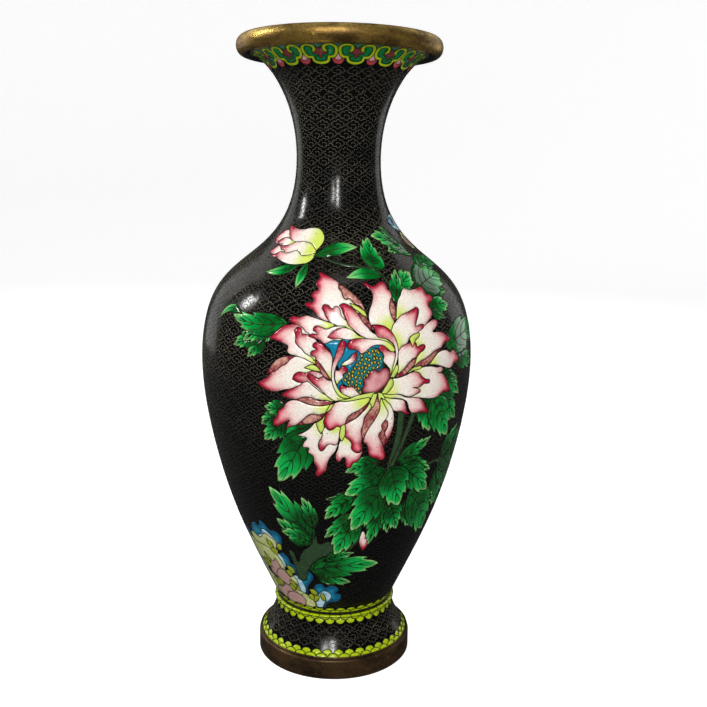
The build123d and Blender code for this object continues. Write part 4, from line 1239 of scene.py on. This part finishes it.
def covered(points, first=0):
    """Which points lie under any cell of the picture from a number on."""
    hidden = np.zeros(len(points), bool)
    for cell in cells[first:]:
        near = np.flatnonzero(cell.near(points) & ~hidden)
        if len(near):
            hidden[near[inside(points[near], cell.outline)]] = True
    return hidden


def visible_runs(line, hidden):
    """The stretches of a line that aren't hidden."""
    runs = [[]]
    for point, gone in zip(line, hidden):
        if gone:
            runs.append([])
        else:
            runs[-1].append(point)
    return [np.array(run) for run in runs if len(run) >= SHORTEST_RUN]


# %% Fill the cells and stand the wires
CELL_WIRE, VEIN_WIRE = 0.46, 0.62  # mm wide
bundles, wires = {}, {}
inlay(cells, on_body, bundles, wires, CELL_WIRE)
for first, line in vein_lines:
    for run in visible_runs(line, covered(line, first)):
        wires["leaf"].add(*wire_strip(run, on_body, VEIN_WIRE, taper=True))
print(len(bundles), "enamel pieces,", len(wires), "wire pieces")

# %% Give each piece its glass and the CAD nodes that it stands for; its slot name is passed but not used
finishes = {
    "rock": ("rock_enamel", rock_glass, ["rock_enamel"]), "branch": ("stem_enamel", stem_glass, ["branch_enamel"]),
    "bud_stem": ("stem_enamel", stem_glass, ["bud_stem_enamel"]),
    "main_stem": ("stem_enamel", stem_glass, ["main_stem_enamel"]),
    "small_bud": ("petal_enamel", petal_glass, ["small_bud_enamel"]),
    "shoulder_bud": ("petal_enamel", petal_glass, ["shoulder_bud_enamel"]),
    "peony_petals": ("petal_enamel", petal_glass, ["peony_bloom_enamel"]),
    "peony_folds": ("petal_enamel", fold_glass, []), "peony_slips": ("petal_enamel", slip_glass, []),
    "peony_heart": ("heart_enamel", heart_glass, ["peony_heart_enamel"]),
    "stamen_bed": ("heart_enamel", bed_glass, []), "stamens": ("heart_enamel", stamen_glass, []),
    "peony_centre": ("petal_enamel", centre_glass, []),
    "back_blossom": ("petal_enamel", petal_glass, ["back_blossom_enamel"]),
    "back_heart": ("heart_enamel", stamen_glass, []),
    "butterfly": ("butterfly_enamel", rock_glass, ["butterfly_enamel"]),
}
for name, bundle in bundles.items():
    slot, material, nodes = finishes.get(name, ("leaf_enamel", leaf_glass, [name + "_enamel"]))
    piece = bundle.piece(name, slot, material)
    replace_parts(piece, *nodes)
wire_nodes = {"flower": "flower_cloisons", "leaf": "leaf_cloisons", "stem": "stem_cloisons", "rock": "rock_cloison",
              "butterfly": "butterfly_cloison"}
for kind, bundle in wires.items():
    piece = bundle.piece(kind + "_wires", "wire_brass", dark_wire)
    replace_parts(piece, wire_nodes[kind])
print("picture laid in pieces:", ", ".join([*bundles, *wires]))

# %% [markdown]
# ## The black ground
# Behind the picture the ground is one body of revolution, turned from the same wall curve and closed at the
# back, so it prints and exports as a solid. The picture's cells stand a hair proud of it.


# %% Turn a closed shell from the wall
GROUND_DEEP = 0.7  # mm of black glass behind the finished surface


def turned(name, wall, low, high, rings, around, material):
    """A closed shell of revolution between two heights."""
    heights = wall.height(np.linspace(wall.along(low), wall.along(high), rings))
    angles = np.linspace(0, 2 * math.pi, around, endpoint=False)
    grid_a, grid_z = np.meshgrid(angles, np.concatenate([heights, heights[::-1]]))
    depth = np.where(np.arange(2 * rings)[:, None] < rings, 0.0, -GROUND_DEEP) * np.ones_like(grid_a)
    vertices = wall.place(grid_a, grid_z, depth).reshape(-1, 3)
    faces = []
    for i in range(2 * rings):
        n = (i + 1) % (2 * rings)
        for j in range(around):
            k = (j + 1) % around
            faces.append((i * around + j, i * around + k, n * around + k, n * around + j))
    return new_piece(name, vertices, faces, material)


ground = turned("black_ground", body, body.z[0] + 0.1, body.z[-1] - 0.2, 230, 200, black_glass)
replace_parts(ground, "ground_enamel")
foot_ground = turned("foot_ground", foot, foot.z[0] + 0.1, foot.z[-1] - 0.2, 40, 160, black_glass)
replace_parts(foot_ground, "foot_ground_enamel")
print("ground faces", len(ground.data.polygons))

# %% [markdown]
# ## The scale borders
# Two staggered rows of lobes run round the waist seam, above and below it, and round the bottom of the
# foot. Each lobe is a cell of lime glass. The back row is listed first, and the front row lies over it.


# %% Rows of scales
SCALE_WIRE = 0.4
SCALE_ROWS = (0.1, 0.9, 0.5), (0.0, 0.56, 0.0)  # (foot, height, shift) of the back row and the front row
SCALE_CLOSE = 0.995  # of the pitch, so that neighbours don't share a corner


def scale_border(name, wall, start, rise, count, turn, node):
    """Two rows of lobes from a height on, upward, or downward where rise is negative."""
    radius = float(wall.radius(start + rise / 2))
    pitch = 2 * math.pi * radius / count
    rows = []
    for base, tall, shift in SCALE_ROWS:
        for k in range(count):
            middle = (k - count / 2 + shift) * pitch + math.radians(turn) * radius
            wobble = random.uniform(-0.03, 0.03)
            half = pitch / 2
            low = start + rise * base
            shape = [(-1, 0, 1), (-1.0, 0.3), (-0.72, 0.8), (0, 1.0 + wobble), (0.72, 0.8), (1.0, 0.3), (1, 0, 1)]
            outline = [(middle + x * half * SCALE_CLOSE, low + y * rise * tall, *s) for x, y, *s in shape]
            if rise < 0:
                outline.reverse()
            rows.append(Cell(name, rounded(outline, step=0.55), (middle, low), "border"))
    made, lines = {}, {}
    inlay(rows, ring_place(wall, radius), made, lines, SCALE_WIRE, grid=1.2)
    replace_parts(made[name].piece(name, "lime_enamel", lime_glass), node)
    lines["border"].piece(name + "_wires", "wire_brass", dark_wire)
    print(name, len(rows), "scales")


scale_border("waist_scales", body, body.z[0] + 0.3, 4.3, 36, 2, "body_scale_border")
scale_border("upper_foot_scales", foot, foot.z[-1] - 0.4, -5.7, 36, 2, "upper_foot_scale_border")
scale_border("lower_foot_scales", foot, foot.z[0] + 0.2, 4.5, 42, 0.5, "lower_foot_scale_border")

# %% [markdown]
# ## The cloud-head border
# Under the lip runs a row of ruyi heads, which are stylised clouds: a thick lime band that rolls inward at
# the top on both sides, emerald glass inside it, and a small maroon blossom. Between the heads hangs a pink
# drop over a red crescent. The wall flares here, so the shapes are drawn along the curve, not in height.


# %% The border's own plane, and the shapes in one head
RUYI_HEADS = 14
RUYI_LOW = 360.7  # mm, where the border starts
ruyi_start = float(body.along(RUYI_LOW))
ruyi_tall = float(body.along(body.z[-1] - 0.3)) - ruyi_start
ruyi_radius = float(body.radius(RUYI_LOW + 4.0))
ruyi_half = math.pi * ruyi_radius / RUYI_HEADS
head_tall = 0.86 * ruyi_tall


def on_lip(around, rise, lift):
    return body.place(np.asarray(around) / ruyi_radius, body.height(ruyi_start + np.asarray(rise)), lift)


curl = [(0.40, 0.60), (0.27, 0.70), (0.30, 0.88), (0.58, 0.97), (0.86, 0.84), (0.90, 0.56), (0.74, 0.36),
        (0.47, 0.35, 1), (0.43, 0.18), (0.24, 0.10)]
mirror = [(-x, y, *s) for x, y, *s in curl[::-1]]
band_line = curl + [(0.0, 0.08)] + mirror
inner_line = curl[1:] + [(0.0, 0.08)] + mirror[:-1]
green_floor = [(-0.30, 0.36), (0.30, 0.36), (0.28, 0.2), (0.0, 0.12), (-0.28, 0.2)]
crescent = [(-0.34, 0.30), (-0.27, 0.10), (0.0, 0.01), (0.27, 0.10), (0.34, 0.30), (0.2, 0.42), (-0.2, 0.42)]
drop = [(-0.19, 0.24, 1), (-0.17, 0.40), (0, 0.60), (0.17, 0.40), (0.19, 0.24, 1), (0, 0.18)]
star = []
for k in range(10):
    reach, turn = (0.37, 0.19)[k % 2], k * math.pi / 5 + math.pi
    star.append((reach * 1.15 * math.sin(turn), 0.60 + reach * 0.9 * math.cos(turn)))
print("a head is", round(2 * ruyi_half, 1), "mm wide and", round(head_tall, 1), "mm tall")

# %% Heads, drops and the teal ground
RUYI_BAND, RUYI_WIRE = 1.9, 0.42  # mm wide
OFF_SEAM = 0.01  # keeps the first drop's middle off the ends of the ground
heads = []


def add_head(piece, outline):
    heads.append(Cell(piece, outline, None, "ruyi"))


def ruyi(points, middle):
    return [(middle + x * ruyi_half, y * head_tall, *s) for x, y, *s in points]


half_round = math.pi * ruyi_radius
add_head("lip_ground", rounded([(-half_round, 0.3 * head_tall, 1), (half_round, 0.3 * head_tall, 1),
                                (half_round, ruyi_tall, 1), (-half_round, ruyi_tall, 1)], step=2.0))
for k in range(RUYI_HEADS):
    between = (k - RUYI_HEADS / 2) * 2 * ruyi_half + (0.0 if k else OFF_SEAM)
    add_head("lip_crescents", rounded(ruyi(crescent, between)))
    add_head("lip_drops", rounded(ruyi(drop, between)))
for k in range(RUYI_HEADS):
    middle = (k - RUYI_HEADS / 2 + 0.5) * 2 * ruyi_half
    add_head("lip_emeralds", rounded(ruyi(inner_line, middle)))
    add_head("lip_greens", rounded(ruyi(green_floor, middle)))
    add_head("lip_blossoms", rounded(ruyi(star, middle), step=0.9))
    add_head("lip_bands", band(ruyi(band_line, middle), RUYI_BAND))
made, lines = {}, {}
inlay(heads, on_lip, made, lines, RUYI_WIRE)
lip_finish = {"lip_ground": teal_glass, "lip_crescents": red_glass, "lip_drops": blush_glass,
              "lip_emeralds": emerald_glass, "lip_greens": emerald_glass, "lip_blossoms": maroon_glass,
              "lip_bands": lime_glass}
for name, bundle in made.items():
    piece = bundle.piece(name, "cloud_head_enamel", lip_finish[name])
    if name == "lip_ground":
        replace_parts(piece, "ruyi_border_enamel")
lines["ruyi"].piece("lip_wires", "wire_brass", dark_wire)
print("cloud-head border", round(ruyi_tall, 1), "mm tall,", len(heads), "cells")

# %% [markdown]
# ## Cloud wires
# The black ground is not left plain: bent wires of little clouds cover it in staggered rows. They anchor the
# glass to the copper. Each cloud is one closed loop of eight lobes, wider than tall, with a hook inside. It
# is a little different from the next because it was bent by hand. They stop at the edge of the picture.

# %% Bend one cloud
lobes = [(2.8, 0.55, 1), (3.7, 0.45), (3.7, -0.45), (2.8, -0.55, 1), (2.7, -1.45), (1.7, -1.65), (1.05, -1.25, 1),
         (0.9, -2.15), (0, -2.45), (-0.9, -2.15), (-1.05, -1.25, 1), (-1.7, -1.65), (-2.7, -1.45),
         (-2.8, -0.55, 1), (-3.7, -0.45), (-3.7, 0.45), (-2.8, 0.55, 1), (-2.7, 1.5), (-1.7, 1.75),
         (-1.05, 1.35, 1), (-0.95, 2.3), (0, 2.65), (0.95, 2.3), (1.05, 1.35, 1), (1.7, 1.75), (2.7, 1.5)]
cloud_loop = rounded(lobes, step=1.0)
cloud_loop = np.concatenate([cloud_loop, cloud_loop[:1]]) * (1.07, 1.05)
cloud_hook = rounded([(1.25, -1.8), (1.8, -0.9), (1.2, 0.05), (0.1, 0.3), (-0.95, 0.2), (-0.85, -0.35)],
                     closed=False, step=1.3)
print("a cloud has", len(cloud_loop), "and its hook", len(cloud_hook), "points")

# %% Lay the clouds in rows
CLOUD_TALL, CLOUD_PITCH, CLOUD_ROW = 5.4, 8.7, 5.15  # mm: height, and distance across and up
CLOUD_WIRE, CLOUD_LIFT, CLOUD_SINK = 0.3, 0.07, 0.3  # mm: width, above the wall, into the wall
ROW_MARGIN = 0.2
PITCH_SLACK = 0.07  # how far the pitch may stretch before a row takes another number of clouds
PICTURE_LEFT = 0.62 * math.pi * BELLY  # what lies further round belongs to the picture's left half


def lay_clouds(wall, low, high, bundle_of, avoid):
    """Rows of clouds from one height to another, kept clear of the picture where avoid is true."""
    start, stop = float(wall.along(low)), float(wall.along(high))
    rows = round((stop - start - CLOUD_TALL) / CLOUD_ROW) + 1
    made, count = 0, None
    for row in range(rows):
        climb = (stop - start - CLOUD_TALL - 2 * ROW_MARGIN) / max(rows - 1, 1)
        middle = start + CLOUD_TALL / 2 + ROW_MARGIN + row * climb
        height = float(wall.height(middle))
        radius = float(wall.radius(height))
        wanted = 2 * math.pi * radius / CLOUD_PITCH
        if count is None or abs(wanted / count - 1) > PITCH_SLACK:
            count = round(wanted)
        squeeze = wanted / count
        for k in range(count):
            centre = (k + (0.5 if row % 2 else 0.0)) * 2 * math.pi / count - math.pi
            grow = random.uniform(0.95, 1.03)
            lean = random.uniform(-0.10, 0.10)
            shift = np.array([random.uniform(-0.2, 0.2), random.uniform(-0.15, 0.15)])
            turn = np.array([[math.cos(lean), -math.sin(lean)], [math.sin(lean), math.cos(lean)]])
            for shape in (cloud_loop, cloud_hook):
                flat = shape @ turn.T * grow * (min(squeeze, 1.04), 1.0) + shift
                lengths = middle + flat[:, 1]
                heights = wall.height(lengths)
                around = centre + flat[:, 0] / wall.radius(heights)
                around = (around + math.pi) % (2 * math.pi) - math.pi if avoid else around
                plane = np.stack([around * BELLY, heights], 1)
                plane[plane[:, 0] > PICTURE_LEFT, 0] -= 2 * math.pi * BELLY
                hidden = covered(plane) if avoid else np.zeros(len(plane), bool)
                for run in visible_runs(np.stack([around, heights], 1), hidden):
                    run[:, 0] = np.unwrap(run[:, 0])
                    bundle_of(height).add(*wire_strip(run, wall.place, CLOUD_WIRE, CLOUD_LIFT, CLOUD_SINK))
                    made += 1
    return made


# %% Clouds on the body and on the foot
cloud_bundles = {}
CLOUD_BANDS = (310, "neck_clouds"), (262, "lower_neck_clouds"), (225, "shoulder_clouds"), (185, "upper_clouds"), \
    (140, "belly_clouds"), (100, "lower_clouds"), (0, "low_clouds")


def cloud_bundle(height):
    """The piece that a row of clouds belongs to, by its height band. Bands keep every piece light
    enough to export whole.
    """
    name = next(name for floor, name in CLOUD_BANDS if height > floor)
    return cloud_bundles.setdefault(name, Bundle())


def foot_bundle(height):
    return cloud_bundles.setdefault("foot_clouds", Bundle())


loops = lay_clouds(body, body.z[0] + 4.9, RUYI_LOW - 0.3, cloud_bundle, True)
loops += lay_clouds(foot, foot.z[0] + 5.0, foot.z[-1] - 6.3, foot_bundle, False)
for name, bundle in cloud_bundles.items():
    piece = bundle.piece(name, "wire_brass", foot_cloud_wire if name == "foot_clouds" else cloud_wire)
    print(name, len(piece.data.polygons), "faces")
print(loops, "bent wires")

# %% [markdown]
# ## The CAD pieces that stay
# The rings, the seam wires, the copper, the lining and the base are the CAD shapes themselves. They only
# take their finishes.

# %% Finish the CAD pieces
kept = {"rim_ring": rim_brass, "foot_ring": foot_brass, "waist_wire": dark_wire, "foot_wire": foot_brass,
        "lip_wire": rim_brass, "body_shell": copper_glow, "neck_shell": copper_glow, "foot_shell": copper_glow,
        "base_disc": copper_glow, "inner_lining": lining_glass, "base_enamel": lining_glass}
for name, material in kept.items():
    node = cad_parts[name]
    if not node.material_slots:
        node.data.materials.append(material)
    for slot in node.material_slots:
        slot.material = material
print(len(kept), "CAD pieces finished")

# %% [markdown]
# ## Camera, floor and light
# The camera stands a little above the shoulder and looks slightly down, with a lens near normal. A pale
# sweep makes floor and background. The black glass needs something to mirror: two tall soft panels give
# the grey gradients at the sides, and small panels give the bright windows on the neck and shoulder.

# %% Camera
camera_data = bpy.data.cameras.new("camera")
camera = bpy.data.objects.new("camera", camera_data)
bpy.context.scene.collection.objects.link(camera)
camera_data.sensor_width = 36.0
camera_data.lens = 46.24
camera.location = (0.0104, -0.555, 0.298)
tilt, roll = math.radians(90 - 10.7), math.radians(0.78)
camera.rotation_mode = "XYZ"
camera.rotation_euler = (Matrix.Rotation(tilt, 3, "X") @ Matrix.Rotation(roll, 3, "Z")).to_euler("XYZ")
bpy.context.scene.camera = camera
print("camera at", [round(v, 3) for v in camera.location], "lens", round(camera_data.lens, 1), "mm")

# %% Floor and light
SWEEP_AROUND = 64
sweep_line = [(0.01, 0.0), (0.6, 0.0), (2.2, 0.0)]
sweep_line += [(2.2 + 0.8 * math.sin(a), 0.8 - 0.8 * math.cos(a)) for a in np.linspace(0.1, math.pi / 2, 12)]
sweep_line += [(3.0, 3.6)]
vertices = [(r * math.cos(a), r * math.sin(a), z) for r, z in sweep_line
            for a in np.linspace(0, 2 * math.pi, SWEEP_AROUND, endpoint=False)]
faces = [(k * SWEEP_AROUND + j, k * SWEEP_AROUND + (j + 1) % SWEEP_AROUND,
          (k + 1) * SWEEP_AROUND + (j + 1) % SWEEP_AROUND, (k + 1) * SWEEP_AROUND + j)
         for k in range(len(sweep_line) - 1) for j in range(SWEEP_AROUND)]
faces.append(tuple(range(SWEEP_AROUND)))
sweep_mesh = bpy.data.meshes.new("sweep")
sweep_mesh.from_pydata(vertices, [], faces)
sweep_mesh.polygons.foreach_set("use_smooth", [True] * len(sweep_mesh.polygons))
sweep = bpy.data.objects.new("sweep", sweep_mesh)
bpy.context.scene.collection.objects.link(sweep)
pale = bpy.data.materials.new("pale_paper")
pale.use_nodes = True
rays = pale.node_tree.nodes.new("ShaderNodeLightPath").outputs
paper = pale.node_tree.nodes["Principled BSDF"]
pale.node_tree.links.new(mix(pale.node_tree, rays["Is Glossy Ray"], (0.55, 0.55, 0.55), (0.02, 0.02, 0.02)),
                         paper.inputs["Base Color"])
pale.node_tree.links.new(mix(pale.node_tree, rays["Is Camera Ray"], (0.02, 0.02, 0.02), (0.80, 0.80, 0.80)),
                         paper.inputs["Emission Color"])
paper.inputs["Emission Strength"].default_value = 1.0
paper.inputs["Roughness"].default_value = 0.9
sweep_mesh.materials.append(pale)


def panel(name, place, aim, width, height, power, mirror=True):
    """A soft rectangular light that faces a point. A panel that isn't mirrored only lights."""
    data = bpy.data.lights.new(name, "AREA")
    data.shape, data.size, data.size_y = "RECTANGLE", width, height
    data.energy = power
    light = bpy.data.objects.new(name, data)
    light.location = place
    light.visible_glossy = mirror
    light.rotation_euler = (Vector(aim) - Vector(place)).to_track_quat("-Z", "Y").to_euler()
    bpy.context.scene.collection.objects.link(light)
    return light


world = bpy.data.worlds.new("studio")
bpy.context.scene.world = world
world.use_nodes = True
seen = world.node_tree.nodes.new("ShaderNodeLightPath").outputs["Is Camera Ray"]
world.node_tree.links.new(mix(world.node_tree, seen, (0.015, 0.015, 0.015), (1.0, 1.0, 1.0)),
                          world.node_tree.nodes["Background"].inputs["Color"])
panel("top_panel", (-0.3, -1.1, 1.6), (0, 0, 0.2), 0.9, 0.7, 13.5, mirror=False)
panel("fill_panel", (0.7, -1.3, 0.7), (0, 0, 0.2), 0.8, 0.8, 6.5, mirror=False)
panel("rear_panel", (-0.6, 1.0, 1.6), (0, 0, 0.25), 0.9, 0.9, 16, mirror=False)
panel("left_panel", (-1.1, 0.95, 0.6), (0, 0, 0.25), 0.7, 2.0, 3.5)
panel("right_panel", (1.1, 0.95, 0.6), (0, 0, 0.25), 0.7, 2.0, 3.5)
panel("front_window", (-0.03, -1.3, 0.95), (0, 0, 0.29), 0.09, 0.5, 5)
panel("near_window", (-0.30, -1.3, 0.95), (0, 0, 0.29), 0.12, 0.36, 2.5)
panel("side_window", (-1.3, 0.08, 0.95), (0, 0, 0.29), 0.20, 0.34, 5)
panel("overhead_panel", (0.05, -0.15, 1.7), (0, 0, 0.38), 0.7, 0.22, 0.5)
